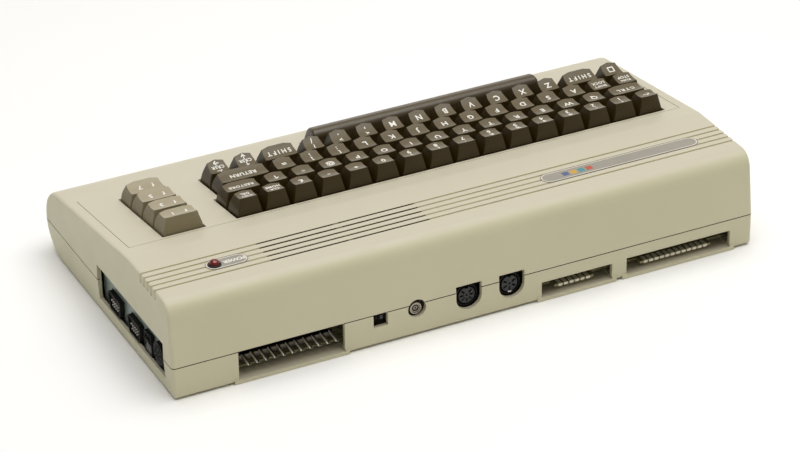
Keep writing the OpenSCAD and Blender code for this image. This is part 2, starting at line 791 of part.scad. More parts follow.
module power_rocker() color("#2a2928") {
  translate([rocker_pivot_x, rear_y - switch_y, switch_z])
    rotate([0, rocker_lean, 0]) rotate([90, 0, 0]) linear_extrude(rocker_w, center = true)
      difference() {
        polygon([[-rocker_tail, -2], [-rocker_tail, 2], [rocker_neck, rocker_h / 2],
                 [rocker_face, rocker_h / 2], [rocker_face - rocker_dip, 0],
                 [rocker_face, -rocker_h / 2], [rocker_neck, -rocker_h / 2]]);
        circle(rocker_axle_r, $fn = round_fn);
      }
}

// Outline of a control port's shell: wide side up, in the YZ plane, grown on all sides
module joy_outline(grow) {
  half_len = joy_len / 2 + grow;
  half_h = joy_h / 2 + grow;
  lean = joy_h * tan(joy_slope);
  polygon([[-half_len, half_h], [half_len, half_h], [half_len - lean, -half_h],
           [-half_len + lean, -half_h]]);
}

module joystick_sockets() color(black_colour) {
  for (y = joy_ys) translate([0, y, joy_z]) {
    difference() {
      translate([side_plate_x0 - 9, 0, 0]) rotate([90, 0, 90])
        linear_extrude(socket_face_x - side_plate_x0 + 9) joy_outline(0);
      translate([side_plate_x0 - joy_pin_root, 0, 0]) rotate([90, 0, 90])
        linear_extrude(far) joy_outline(-1.2);
    }
    block([side_plate_x0 - 9, -joy_len / 2 + 2, board_top - joy_z],
          [side_plate_x0 - 1, joy_len / 2 - 2, -joy_h / 2 + 1]);
  }
}

module joystick_pins() color("#c9b46a") {
  for (y = joy_ys, row = [0, 1], i = [0 : 4 - row])
    translate([side_plate_x0 - joy_pin_root, y + (i - 2 + row / 2) * 2.77,
               joy_z - joy_pin_drop + 1.42 - row * 2.84])
      rotate([0, 90, 0])
        cylinder(socket_face_x - joy_pin_in - side_plate_x0 + joy_pin_root, r = 0.5, $fn = 24);
}

module side_port_plate() color("#64757c") {
  difference() {
    block([side_plate_x0, recess_y0 - 2, floor_z], [side_plate_x1, recess_y1 + 2, recess_z1 + 2]);
    for (y = joy_ys) translate([side_plate_x0 - 1, y, joy_z]) rotate([90, 0, 90])
      linear_extrude(side_plate_t + 2) joy_outline(clear);
    translate([side_plate_x0 - 1, rear_y - power_y, power_z]) rotate([0, 90, 0])
      cylinder(side_plate_t + 2, r = din_r + clear, $fn = round_fn);
    block([side_plate_x0 - 1, rear_y - switch_y - switch_w / 2 + 1 - clear, 0],
          [side_plate_x1 + 1, rear_y - switch_y + switch_w / 2 - 1 + clear,
           switch_z + switch_h / 2 - 1 + clear]);
  }
}

module expansion_connector() color(black_colour) {
  difference() {
    block([cart_x - connector_w / 2, connector_y1 - connector_d, board_top],
          [cart_x + connector_w / 2, connector_y1, board_top + connector_h]);
    block([cart_x - connector_w / 2 + 2.5, connector_y1 - 9, board_top + connector_h / 2 - 1],
          [cart_x + connector_w / 2 - 2.5, connector_y1 + 1, board_top + connector_h / 2 + 1]);
  }
}

module cartridge_guard() color(metal_colour) {
  guard_z = board_top + 1.2;
  block([cart_x - connector_w / 2, connector_y1, board_top],
        [cart_x + connector_w / 2, connector_y1 + 0.6, board_top + 3.6]);
  for (i = [0 : finger_count - 1])
    translate([cart_x + (i - (finger_count - 1) / 2) * finger_pitch, connector_y1 + 0.3, guard_z + 2])
      rotate([-12, 0, 0]) translate([-finger_w / 2, 0, -finger_t])
        cube([finger_w, 10.5, finger_t]);
}

module badge_plate() color(plate_colour) {
  translate([-badge_from_mid, plate_y, 0]) stadium_pad(badge_len, plate_h, plate_z0, plate_t);
}

module lamp_plate() color(plate_colour) {
  difference() {
    translate([lamp_plate_x, plate_y, 0]) stadium_pad(lamp_plate_len, plate_h, plate_z0, plate_t);
    translate([lamp_from_mid, plate_y, plate_z0 - 1])
      cylinder(far, r = bezel_d / 2 + 0.1, $fn = round_fn);
  }
}

module lamp_bezel() color(black_colour) {
  translate([lamp_from_mid, plate_y, 0]) difference() {
    union() {
      translate([0, 0, plate_z0])
        cylinder(plate_t + bezel_h, r1 = bezel_d / 2, r2 = bezel_d / 2 - 0.6, $fn = round_fn);
      translate([0, 0, top_z - lamp_body_len])
        cylinder(lamp_body_len, r = bezel_d / 2 - 1, $fn = round_fn);
    }
    translate([0, 0, top_z - lamp_body_len - 1]) cylinder(far, r = lamp_d / 2 + 0.1, $fn = round_fn);
  }
}

module power_lamp() color("#a01418") {
  translate([lamp_from_mid, plate_y, top_z - lamp_body_len + 1]) {
    cylinder(lamp_body_len + bezel_h - 2, r = lamp_d / 2, $fn = round_fn);
    translate([0, 0, lamp_body_len + bezel_h - 2]) sphere(lamp_d / 2, $fn = round_fn);
  }
}

// One straight run of a round wire between two points
module wire_run(from, to, r) {
  d = to - from;
  len = norm(d);
  translate(from) rotate([0, acos(d[2] / len), atan2(d[1], d[0])]) cylinder(len, r = r, $fn = 24);
}

// A wire along a chain of points, with a ball at each bend
module wire(points, r) {
  for (i = [1 : len(points) - 1]) wire_run(points[i - 1], points[i], r);
  if (len(points) > 2) for (i = [1 : len(points) - 2]) translate(points[i]) sphere(r * 1.12, $fn = 24);
}

module lamp_lead() color("#7a2020") {
  top = [lamp_from_mid, plate_y, top_z - lamp_body_len + 1];
  foot = [lamp_from_mid - 14, plate_y - 26, board_top];
  wire([top, [top[0], top[1], top[2] - 14], [foot[0], foot[1], foot[2] + 14], foot], 1.1);
}

// Keys. Each is [left edge, width] in key units from the centre of the main field.

// Side outline of a cap in the key's YZ plane, with the dish's true arc
module cap_side(top, shrink) {
  rear_z = top[0];
  front_z = top[1];
  top_len = top[2];
  y0 = -key_u + key_gap / 2 + shrink;
  y1 = -key_gap / 2 - shrink;
  ty1 = -key_gap / 2 - top[3] - shrink;
  ty0 = ty1 + 2 * shrink - top_len;
  lean = atan2(front_z - rear_z, top_len);
  difference() {
    polygon([[y0, cap_base_z], [y1, cap_base_z], [ty1, rear_z - cap_top_shrink * shrink],
             [ty0, front_z - cap_top_shrink * shrink]]);
    translate([(ty0 + ty1) / 2, (rear_z + front_z) / 2 - cap_top_shrink * shrink])
      rotate(-lean) translate([0, dish_r - dish_depth]) circle(dish_r, $fn = 128);
  }
}

// Front outline of a cap in the XZ plane
module cap_front(w, shrink) {
  half = w * key_u / 2 - key_gap / 2 - shrink;
  top = half - cap_taper / 2;
  polygon([[-half, cap_base_z], [half, cap_base_z], [top, cap_ref_z], [-top, cap_ref_z]]);
}

// Leaf-shaped flat that starts at a base corner and widens upwards
module corner_flat(x, y, side, end, inward) {
  translate([x, y, cap_base_z]) rotate([90, 0, atan2(end, side)]) linear_extrude(12, center = true)
    polygon([[0, -1], [flat_out, -1], [flat_out, flat_h], [-inward, flat_h], [0, 0]]);
}

// A cap's outer or inner form, its left edge at u0 and its rear line at y = 0
module cap_form(u0, w, top, shrink) {
  translate([(u0 + w / 2) * key_u, 0, 0]) intersection() {
    rotate([90, 0, 90]) linear_extrude(w * key_u, center = true) cap_side(top, shrink);
    rotate([90, 0, 0]) linear_extrude(key_u) cap_front(w, shrink);
  }
}

module key(u0, w, row, tops) {
  top = tops[row];
  half = w * key_u / 2 - key_gap / 2;
  mid_x = (u0 + w / 2) * key_u;
  translate([0, -row * key_u, 0]) {
    difference() {
      cap_form(u0, w, top, 0);
      translate([0, 0, -eps]) cap_form(u0, w, top, cap_wall);
      for (side = [-1, 1]) {
        corner_flat(mid_x + side * half, -key_gap / 2, side, 1, rear_flat);
        corner_flat(mid_x + side * half, -key_u + key_gap / 2, side, -1, front_flat);
      }
    }
    translate([mid_x, -key_u / 2, 0]) plunger(min(top[0], top[1]));
  }
}

// A square plunger with the collar that the spring pushes on
module plunger(top_z) {
  translate([-plunger_w / 2, -plunger_w / 2, plunger_end_z])
    cube([plunger_w, plunger_w, collar_z - plunger_end_z + eps]);
  translate([-collar_w / 2, -collar_w / 2, collar_z]) cube([collar_w, collar_w, collar_t]);
  translate([-plunger_w / 2, -plunger_w / 2, collar_z])
    cube([plunger_w, plunger_w, top_z - collar_z - stem_top_gap]);
}

// Keys side by side from u0, all w wide
module key_run(u0, w, count, row) {
  on_panel() for (i = [0 : count - 1]) key(u0 + i * w, w, row, row_tops);
}

// A function key, by its row
module function_key(row) {
  on_panel() key(fkeys_x / key_u - 0.75, 1.5, row, frow_tops);
}

module left_arrow_key() color(key_colour) key_run(-8, 1, 1, 0);
module digit_keys() color(key_colour) key_run(-7, 1, 10, 0);
module sign_keys() color(key_colour) key_run(3, 1, 3, 0);
module home_key() color(key_colour) key_run(6, 1, 1, 0);
module delete_key() color(key_colour) key_run(7, 1, 1, 0);
module control_key() color(key_colour) key_run(-8, 1.5, 1, 1);
module upper_row_keys() color(key_colour) key_run(-6.5, 1, 13, 1);
module restore_key() color(key_colour) key_run(6.5, 1.5, 1, 1);
module stop_key() color(key_colour) key_run(left_u, 1, 1, 2);
module shift_lock_key() color(key_colour) key_run(left_u + 1, 1, 1, 2);
module middle_row_keys() color(key_colour) key_run(left_u + 2, 1, 12, 2);
module return_key() color(key_colour) key_run(left_u + 14, 2, 1, 2);
module symbol_key() color(key_colour) key_run(left_u, 1, 1, 3);
module left_shift_key() color(key_colour) key_run(left_u + 1, 1.5, 1, 3);
module lower_row_keys() color(key_colour) key_run(left_u + 2.5, 1, 10, 3);
module right_shift_key() color(key_colour) key_run(left_u + 12.5, 1.5, 1, 3);
module cursor_down_key() color(key_colour) key_run(left_u + 14, 1, 1, 3);
module cursor_right_key() color(key_colour) key_run(left_u + 15, 1, 1, 3);
module f1_key() color(fkey_colour) function_key(0);
module f3_key() color(fkey_colour) function_key(1);
module f5_key() color(fkey_colour) function_key(2);
module f7_key() color(fkey_colour) function_key(3);

// Side outline of the space bar: upright rear face, crowned top, sloping front
module space_side(shrink) {
  y0 = -key_u + key_gap / 2 + shrink;
  y1 = -key_gap / 2 - shrink;
  r = space_r - shrink;
  hull() {
    translate([y0, cap_base_z]) square([y1 - y0, 0.5]);
    translate([y1 - space_rear_in + shrink / 2, space_top_z - space_r]) circle(r, $fn = arc_fn);
    translate([y1 - space_front_in + shrink / 2, space_top_z - space_r - space_front_drop])
      circle(r, $fn = arc_fn);
  }
}

module space_bar() color(key_colour) {
  w = space_u1 - space_u0;
  on_panel() translate([0, -4 * key_u, 0]) {
    difference() {
      translate([(space_u0 + w / 2) * key_u, 0, 0]) intersection() {
        across(w * key_u) space_side(0);
        rotate([90, 0, 0]) linear_extrude(key_u) cap_front(w, 0);
      }
      translate([(space_u0 + w / 2) * key_u, 0, -eps]) intersection() {
        across(w * key_u) space_side(cap_wall);
        rotate([90, 0, 0]) linear_extrude(key_u) cap_front(w, cap_wall);
      }
    }
    for (u = space_plungers) translate([u * key_u, -key_u / 2, 0]) plunger(space_top_z);
  }
}

// Centres of all plungers, in key units across and rows down
plunger_spots = concat(
  [for (i = [0 : 15]) [-7.5 + i, 0]],
  [[-7.25, 1]], [for (i = [0 : 12]) [-6 + i, 1]], [[7.25, 1]],
  [for (i = [0 : 13]) [left_u + 0.5 + i, 2]], [[left_u + 15, 2]],
  [[left_u + 0.5, 3], [left_u + 1.75, 3]], [for (i = [0 : 9]) [left_u + 3 + i, 3]],
  [[left_u + 13.25, 3], [left_u + 14.5, 3], [left_u + 15.5, 3]],
  [for (u = space_plungers) [u, 4]],
  [for (row = [0 : 3]) [fkeys_x / key_u, row]]
);

module keyboard_frame() color(black_colour) {
  hole = plunger_w + 2 * plunger_gap;
  on_panel() difference() {
    union() {
      block([frame_x0, frame_y0, -frame_depth - frame_t], [frame_x1, frame_y1, -frame_depth]);
      difference() {
        block([frame_x0, frame_y0, board_top_z], [frame_x1, frame_y1, -frame_depth - frame_t + eps]);
        block([frame_x0 + 2, frame_y0 + 2, board_top_z - 1], [frame_x1 - 2, frame_y1 - 2, -frame_depth]);
      }
      for (p = plunger_spots)
        translate([p[0] * key_u - guide_w / 2, -(p[1] + 0.5) * key_u - guide_w / 2, -frame_depth - eps])
          cube([guide_w, guide_w, frame_depth + guide_top_z]);
    }
    for (p = plunger_spots)
      translate([p[0] * key_u - hole / 2, -(p[1] + 0.5) * key_u - hole / 2, -far / 2])
        cube([hole, hole, far]);
    for (x = boss_xs, y = boss_ys) translate([x, y, -far / 2])
      cylinder(far, r = screw_r + clear, $fn = round_fn);
  }
}

module keyboard_board() color(board_colour) {
  on_panel() difference() {
    block([frame_x0, frame_y0, board_top_z - pcb_t], [frame_x1, frame_y1, board_top_z]);
    for (x = boss_xs, y = boss_ys) translate([x, y, -far / 2])
      cylinder(far, r = screw_head_r + 0.8, $fn = round_fn);
  }
}

module keyboard_screws() color(metal_colour) {
  on_panel() for (x = boss_xs, y = boss_ys)
    translate([x, y, -frame_depth - frame_t - screw_head_h]) screw(frame_t + 5);
}

module keyboard_cable() color("#8d8f92") {
  z_top = panel_z(cable_y) + (board_top_z - pcb_t) / cos_tilt;
  translate([cable_x, cable_y, board_top]) cube([cable_w, cable_t, z_top - board_top]);
}

module key_springs() color(metal_colour) {
  on_panel() for (p = plunger_spots)
    translate([p[0] * key_u, -(p[1] + 0.5) * key_u, -frame_depth + spring_seat_gap])
      difference() {
        cylinder(collar_z + frame_depth - 2 * spring_seat_gap, r = spring_out_r, $fn = round_fn);
        translate([0, 0, -1]) cylinder(far, r = spring_in_r, $fn = round_fn);
      }
}

bottom_case();
top_case();
rubber_feet();
case_screws();
main_board();
board_screws();
chips();
capacitors();
heat_sink();
fuse();
modulator_can();
antenna_jack();
channel_switch();
channel_slider();
av_socket();
serial_socket();
power_socket();
power_switch();
power_rocker();
joystick_sockets();
joystick_pins();
side_port_plate();
expansion_connector();
cartridge_guard();
badge_plate();
lamp_plate();
lamp_bezel();
power_lamp();
lamp_lead();
keyboard_frame();
keyboard_board();
keyboard_screws();
keyboard_cable();
key_springs();
left_arrow_key();
digit_keys();
sign_keys();
home_key();
delete_key();
control_key();
upper_row_keys();
restore_key();
stop_key();
shift_lock_key();
middle_row_keys();
return_key();
symbol_key();
left_shift_key();
lower_row_keys();
right_shift_key();
cursor_down_key();
cursor_right_key();
space_bar();
f1_key();
f3_key();
f5_key();
f7_key();
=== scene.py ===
"""A vintage home computer, dressed over its CAD frame.

Sizes in the classes are millimetres in the frame of the CAD model: origin at the middle of the
footprint on the table, +X the user's right, -Y the front, +Z up. They become metres where a mesh is made.
"""

import logging
import math
from contextlib import contextmanager
from dataclasses import dataclass, field
from enum import Enum
from typing import Callable, Iterator

import bmesh
import bpy
from bpy.types import ID, Material, Node, NodeSocket, NodeTree, Object
from mathutils import Matrix, Vector


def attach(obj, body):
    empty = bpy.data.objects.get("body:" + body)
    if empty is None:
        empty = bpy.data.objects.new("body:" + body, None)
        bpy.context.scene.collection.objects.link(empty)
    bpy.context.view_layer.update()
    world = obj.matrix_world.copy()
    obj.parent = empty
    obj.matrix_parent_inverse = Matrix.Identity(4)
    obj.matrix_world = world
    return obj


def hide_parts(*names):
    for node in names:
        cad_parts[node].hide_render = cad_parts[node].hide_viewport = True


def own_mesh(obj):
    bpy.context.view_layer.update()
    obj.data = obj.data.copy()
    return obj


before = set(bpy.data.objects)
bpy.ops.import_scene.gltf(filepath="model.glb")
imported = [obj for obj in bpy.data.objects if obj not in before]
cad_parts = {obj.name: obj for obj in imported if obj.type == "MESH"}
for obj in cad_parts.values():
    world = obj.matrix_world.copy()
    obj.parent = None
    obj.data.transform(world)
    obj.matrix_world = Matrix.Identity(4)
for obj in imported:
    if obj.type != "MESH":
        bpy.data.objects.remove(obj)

log = logging.getLogger("home_computer")

MM = 0.001
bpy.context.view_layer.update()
BODY = "case"

Place = tuple[float, float, float]
Colour = tuple[float, float, float]


class Axis(Enum):
    """The way that a turned piece points."""

    X = (0.0, math.pi / 2, 0.0)
    Y = (math.pi / 2, 0.0, 0.0)
    Z = (0.0, 0.0, 0.0)


class Slot(Enum):
    """Names of the record's material slots, passed along with the pieces made here."""

    CASE = "case"
    KEY = "key"
    FUNCTION_KEY = "function_key"
    BLACK = "black"
    STEEL = "steel"
    TIN = "tin"
    PLATE = "plate"
    LAMP = "lamp"


# ---------------------------------------------------------------- workbench


def pick(piece: Object) -> None:
    """Leaves one piece selected and active.

    Args:
        piece: the piece to work on.
    """
    bpy.ops.object.select_all(action="DESELECT")
    piece.select_set(True)
    bpy.context.view_layer.objects.active = piece


@contextmanager
def editing(piece: Object, kind: str = "FACE") -> Iterator[None]:
    """Opens a piece in edit mode with nothing selected, and closes it again.

    Args:
        piece: the piece to edit.
        kind: VERT, EDGE or FACE, what the selection works on.
    """
    pick(piece)
    bpy.ops.object.mode_set(mode="EDIT")
    bpy.ops.mesh.select_mode(type=kind)
    bpy.ops.mesh.select_all(action="DESELECT")
    yield
    bpy.ops.object.mode_set(mode="OBJECT")


def mark(piece: Object, kind: str, test: Callable[..., bool]) -> None:
    """Selects the parts of a mesh that pass a test, in edit mode.

    Args:
        piece: the piece in edit mode.
        kind: VERT, EDGE or FACE, what is tested.
        test: takes a vertex's place, an edge's two ends or a face's middle and normal; places in millimetres.
    """
    mesh = bmesh.from_edit_mesh(piece.data)
    mesh.normal_update()
    parts, facts = {
        "VERT": (mesh.verts, lambda vert: [vert.co / MM]),
        "EDGE": (mesh.edges, lambda edge: [vert.co / MM for vert in edge.verts]),
        "FACE": (mesh.faces, lambda face: [face.calc_center_median() / MM, face.normal]),
    }[kind]
    for part in parts:
        part.select_set(test(*facts(part)))
    if kind == "VERT":
        mesh.select_flush_mode()
    bmesh.update_edit_mesh(piece.data)


def bevel(piece: Object, width: float, segments: int, test: Callable[..., bool], kind: str = "EDGE") -> None:
    """Rounds the edges or corners that pass a test.

    Args:
        piece: the piece.
        width: width of the rounding.
        segments: its steps.
        test: takes an edge's two ends or a corner's place, in millimetres.
        kind: EDGE, or VERT for the corners of a flat outline.
    """
    with editing(piece, kind):
        mark(piece, kind, test)
        affect = "EDGES" if kind == "EDGE" else "VERTICES"
        bpy.ops.mesh.bevel(offset=width * MM, segments=segments, affect=affect, clamp_overlap=False)


def merge(distance: float) -> None:
    """Merges the close vertices of the piece in edit mode, with the distance in millimetres."""
    bpy.ops.mesh.select_all(action="SELECT")
    bpy.ops.mesh.remove_doubles(threshold=distance * MM)


def face_out() -> None:
    """Turns all faces of the closed form in edit mode outwards."""
    bpy.ops.mesh.select_all(action="SELECT")
    bpy.ops.mesh.normals_make_consistent(inside=False)


def mark_rims(piece: Object, test: Callable[[Vector], bool], angle: float = 0.6) -> None:
    """Selects sharp outer edges whose middle passes a test, in edit mode.

    Args:
        piece: the piece in edit mode.
        test: takes the middle of an edge in millimetres.
        angle: the least angle between the edge's faces, in radians.
    """
    mesh = bmesh.from_edit_mesh(piece.data)
    for edge in mesh.edges:
        sharp = edge.is_manifold and edge.is_convex and edge.calc_face_angle(0) > angle
        edge.select_set(sharp and test((edge.verts[0].co + edge.verts[1].co) / 2 / MM))
    bmesh.update_edit_mesh(piece.data)


def named(name: str) -> Object:
    """Names the active object and applies its place to its mesh.

    Args:
        name: the piece's name.

    Returns:
        The object, at the origin.
    """
    piece = bpy.context.object
    piece.name = piece.data.name = name
    bpy.ops.object.transform_apply(location=True, rotation=True, scale=True)
    return piece


def block(name: str, low: Place, high: Place) -> Object:
    """Adds a cube drawn out between two corners.

    Args:
        name: the piece's name.
        low: the lowest corner.
        high: the highest corner.

    Returns:
        The block.
    """
    bpy.ops.object.select_all(action="DESELECT")
    start, end = Vector(low) * MM, Vector(high) * MM
    bpy.ops.mesh.primitive_cube_add(size=1, location=(start + end) / 2, scale=end - start)
    return named(name)


def rod(
    name: str, middle: Place, radius: float, depth: float, axis: Axis = Axis.Z, sides: int = 48
) -> Object:
    """Adds a round rod about its middle.

    Args:
        name: the piece's name.
        middle: the rod's middle.
        radius: its radius.
        depth: its length.
        axis: the way it points.
        sides: how many sides it has.

    Returns:
        The rod.
    """
    bpy.ops.object.select_all(action="DESELECT")
    spot = Vector(middle) * MM
    bpy.ops.mesh.primitive_cylinder_add(
        vertices=sides, radius=radius * MM, depth=depth * MM, location=spot, rotation=axis.value
    )
    return named(name)


def apply_modifier(piece: Object, kind: str, **settings: object) -> None:
    """Adds a modifier and applies it.

    Args:
        piece: the piece that gets it.
        kind: the modifier's type.
        settings: its settings.
    """
    pick(piece)
    modifier = piece.modifiers.new(kind.lower(), kind)
    for name, value in settings.items():
        setattr(modifier, name, value)
    bpy.ops.object.modifier_apply(modifier=modifier.name)


def carve(piece: Object, *tools: Object, way: str = "DIFFERENCE") -> Object:
    """Cuts tools out of a piece, or joins them to it, and clears the tools away.

    Args:
        piece: the piece to change.
        tools: the solids to cut with.
        way: DIFFERENCE, UNION or INTERSECT.

    Returns:
        The piece.
    """
    for tool in tools:
        apply_modifier(piece, "BOOLEAN", operation=way, solver="EXACT", object=tool)
        bpy.data.objects.remove(tool, do_unlink=True)
    return piece


def gather(name: str, parts: list[Object]) -> Object:
    """Joins parts into one piece.

    Args:
        name: the joined piece's name.
        parts: the parts.

    Returns:
        The joined piece.
    """
    pick(parts[0])
    for part in parts[1:]:
        part.select_set(True)
    if len(parts) > 1:
        bpy.ops.object.join()
    piece = bpy.context.view_layer.objects.active
    piece.name = piece.data.name = name
    return piece


def round_edges(piece: Object, width: float, segments: int = 2, angle: float = 40.0) -> None:
    """Rounds a piece's sharp edges.

    Args:
        piece: the piece.
        width: width of the rounding.
        segments: its steps.
        angle: edges sharper than this, in degrees, are rounded.
    """
    limit = {"limit_method": "ANGLE", "angle_limit": math.radians(angle)}
    apply_modifier(piece, "BEVEL", width=width * MM, segments=segments, **limit)


def smooth(piece: Object, angle: float = 35.0) -> None:
    """Shades a piece smooth up to an angle, with flat faces kept flat.

    Args:
        piece: the piece.
        angle: edges sharper than this, in degrees, stay sharp.
    """
    pick(piece)
    bpy.ops.object.shade_smooth_by_angle(angle=math.radians(angle))
    apply_modifier(piece, "WEIGHTED_NORMAL", keep_sharp=True, weight=80)


def add_object(name: str, data: ID) -> Object:
    """Adds an object to the scene.

    Args:
        name: its name.
        data: its mesh, curve, camera or light.

    Returns:
        The object, at the origin.
    """
    thing = bpy.data.objects.new(name, data)
    bpy.context.scene.collection.objects.link(thing)
    return thing


def twin(piece: Object, name: str) -> Object:
    """Copies a piece's mesh into a piece of its own.

    Args:
        piece: the piece to copy.
        name: the copy's name.

    Returns:
        The copy, at the origin.
    """
    copy = add_object(name, piece.data.copy())
    copy.data.name = name
    return copy


def cad_copy(node: str, name: str) -> Object:
    """Copies a CAD solid into a clean mesh that can be worked on.

    Args:
        node: the CAD node.
        name: the new piece's name.

    Returns:
        The copy, merged and with its flat faces whole.
    """
    piece = twin(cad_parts[node], name)
    pick(piece)
    bpy.ops.mesh.customdata_custom_splitnormals_clear()
    with editing(piece, "VERT"):
        merge(0.002)
        bpy.ops.mesh.dissolve_limited(angle_limit=math.radians(0.3))
    return piece


def shift(x: float, y: float, z: float = 0.0) -> Matrix:
    """Returns a move by distances in millimetres."""
    return Matrix.Translation(Vector((x, y, z)) * MM)


def move_to(piece: Object, place: Matrix) -> Object:
    """Moves a piece's mesh, so that its object stays at the origin.

    Args:
        piece: the piece.
        place: the move, in metres.

    Returns:
        The piece.
    """
    piece.data.transform(place)
    piece.data.update()
    return piece


def install(piece: Object, body: str, finish: "Finish", slot: Slot, *nodes: str) -> Object:
    """Paints a piece, mounts it on its body and hides the CAD nodes that it stands for.

    Args:
        piece: the finished piece.
        body: the CAD body it rides on.
        finish: its finish.
        slot: the record's slot that the finish belongs to; not used.
        nodes: the CAD nodes it replaces.

    Returns:
        The piece.
    """
    piece.data.materials.clear()
    piece.data.materials.append(finish.material())
    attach(piece, body)
    if nodes:
        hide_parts(*nodes)
    log.info("%s rides on %s", piece.name, body)
    return piece


def paint_nodes(**finishes: "Finish") -> None:
    """Gives carried-over CAD solids their finishes.

    Args:
        finishes: each node's finish, under the node's name.
    """
    for node, finish in finishes.items():
        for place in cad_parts[node].material_slots:
            place.material = finish.material()
        log.info("%s is painted %s", node, finish.name)


def engrave(
    name: str,
    words: str,
    size: float,
    middle: tuple[float, float],
    thickness: float = 0.05,
    spacing: float = 1.0,
) -> Object:
    """Makes raised lettering flat on the XY plane.

    Args:
        name: the piece's name.
        words: what it says.
        size: height of the letters' body.
        middle: its middle in X and Y.
        thickness: half of the letters' thickness.
        spacing: distance between letters as a share of the usual one.

    Returns:
        The lettering as a mesh, upright for a reader at -Y.
    """
    curve = bpy.data.curves.new(name, "FONT")
    curve.body = words
    curve.size = size * MM
    curve.extrude = thickness * MM
    curve.offset = 0.025 * size * MM
    curve.space_character = spacing
    curve.resolution_u = 3
    curve.align_x = "CENTER"
    curve.align_y = "CENTER"
    pick(add_object(name, curve))
    bpy.ops.object.convert(target="MESH")
    piece = bpy.context.view_layer.objects.active
    with editing(piece, "VERT"):
        merge(0.001)
    spots = [vert.co for vert in piece.data.vertices]
    x, y = ((min(spot[i] for spot in spots) + max(spot[i] for spot in spots)) / 2 for i in (0, 1))
    return move_to(piece, Matrix.Translation((middle[0] * MM - x, middle[1] * MM - y, 0)))


# ---------------------------------------------------------------- finishes


def feed(tree: NodeTree, node: Node, inputs: dict[str | int, object]) -> None:
    """Sets a node's inputs, or wires those that are given another node's output.

    Args:
        tree: the tree that holds the node.
        node: the node.
        inputs: each input's name or number, with its value or the output wired to it.
    """
    for name, source in inputs.items():
        if isinstance(source, NodeSocket):
            tree.links.new(source, node.inputs[name])
        else:
            node.inputs[name].default_value = source


def add_node(tree: NodeTree, kind: str, inputs: dict[str | int, object], operation: str = "") -> Node:
    """Adds a shader node.

    Args:
        tree: the tree that gets it.
        kind: its type, without the words ShaderNode in front.
        inputs: its inputs, as feed takes them.
        operation: what a mathematical node works out.

    Returns:
        The node.
    """
    node = tree.nodes.new(f"ShaderNode{kind}")
    if operation:
        node.operation = operation
    feed(tree, node, inputs)
    return node


def stretch(
    tree: NodeTree, value: NodeSocket, start: float, end: float, low: float = 0.0, high: float = 1.0
) -> NodeSocket:
    """Maps a value's range from start to end onto one from low to high, and keeps it there."""
    inputs = {"Value": value, "From Min": start, "From Max": end, "To Min": low, "To Max": high}
    return add_node(tree, "MapRange", inputs).outputs["Result"]


@dataclass(frozen=True)
class Finish:
    """A procedural finish: its colours drift over the piece and its surface has a fine relief.

    Colours are linear. Scales are how many times a pattern repeats in a metre.
    """

    name: str
    base: Colour
    shade: Colour
    roughness: tuple[float, float] = (0.4, 0.55)
    drift_scale: float = 14.0
    grain_scale: float = 1500.0
    grain_depth: float = 0.02
    grain_strength: float = 0.25
    metallic: float = 0.0
    specular: float = 0.5
    coat: float = 0.0
    # Painted light: the colour painted on faces that look up, lighter where light falls from above.
    painted_top_light: Colour | None = None

    def material(self) -> Material:
        """Returns the finish's material, made once."""
        return bpy.data.materials.get(self.name) or self.mix()

    def mix(self) -> Material:
        """Makes the material and its nodes.

        Returns:
            The new material.
        """
        material = bpy.data.materials.new(self.name)
        material.use_nodes = True
        material.diffuse_color = (*self.base, 1.0)
        tree = material.node_tree
        place = add_node(tree, "TexCoord", {}).outputs["Object"]
        gloss = self.noise(tree, place, self.drift_scale * 6, 3.0)
        grain = {
            "Strength": self.grain_strength,
            "Distance": self.grain_depth * MM,
            "Height": self.relief(tree, place),
        }
        feed(tree, tree.nodes["Principled BSDF"], {
            "Base Color": self.tint(tree, place),
            "Metallic": self.metallic,
            "Specular IOR Level": self.specular,
            "Coat Weight": self.coat,
            "Roughness": stretch(tree, gloss, 0.3, 0.7, *self.roughness),
            "Normal": add_node(tree, "Bump", grain).outputs["Normal"],
        })
        return material

    @staticmethod
    def noise(tree: NodeTree, place: NodeSocket, scale: float, detail: float) -> NodeSocket:
        """Adds a noise pattern and returns its value, with the scale in repeats a metre."""
        return add_node(tree, "TexNoise", {"Vector": place, "Scale": scale, "Detail": detail}).outputs["Fac"]

    def tint(self, tree: NodeTree, place: NodeSocket) -> NodeSocket:
        """Makes the drifting colour.

        Args:
            tree: the material's nodes.
            place: the coordinates it reads.

        Returns:
            The colour.
        """
        ramp = add_node(tree, "ValToRGB", {"Fac": self.noise(tree, place, self.drift_scale, 4.0)})
        for stop, position, colour in zip(ramp.color_ramp.elements, (0.3, 0.7), (self.shade, self.base)):
            stop.position = position
            stop.color = (*colour, 1.0)
        drift = ramp.outputs["Color"]
        return self.paint_top_light(tree, drift) if self.painted_top_light else drift

    def paint_top_light(self, tree: NodeTree, colour: NodeSocket) -> NodeSocket:
        """Mixes in painted light: a lighter colour painted on the faces that look up, as if lit from above.

        Args:
            tree: the material's nodes.
            colour: the colour of all other faces.

        Returns:
            The mixed colour.
        """
        normal = add_node(tree, "NewGeometry", {}).outputs["Normal"]
        rise = add_node(tree, "SeparateXYZ", {"Vector": normal}).outputs["Z"]
        share = stretch(tree, rise, 0.7, 0.95)
        colours = {"Fac": share, "Color1": colour, "Color2": (*self.painted_top_light, 1.0)}
        return add_node(tree, "MixRGB", colours).outputs["Color"]

    def relief(self, tree: NodeTree, place: NodeSocket) -> NodeSocket:
        """Returns the height that the bump reads: fine grain."""
        return self.noise(tree, place, self.grain_scale, 2.0)


@dataclass(frozen=True)
class BrushedMetal(Finish):
    """Metal with fine lines along one axis."""

    stretch: Place = (40.0, 900.0, 900.0)

    def relief(self, tree: NodeTree, place: NodeSocket) -> NodeSocket:
        """Returns the height that the bump reads: lines drawn out along an axis."""
        lay = add_node(tree, "Mapping", {"Vector": place, "Scale": self.stretch})
        return self.noise(tree, lay.outputs["Vector"], 2.0, 3.0)


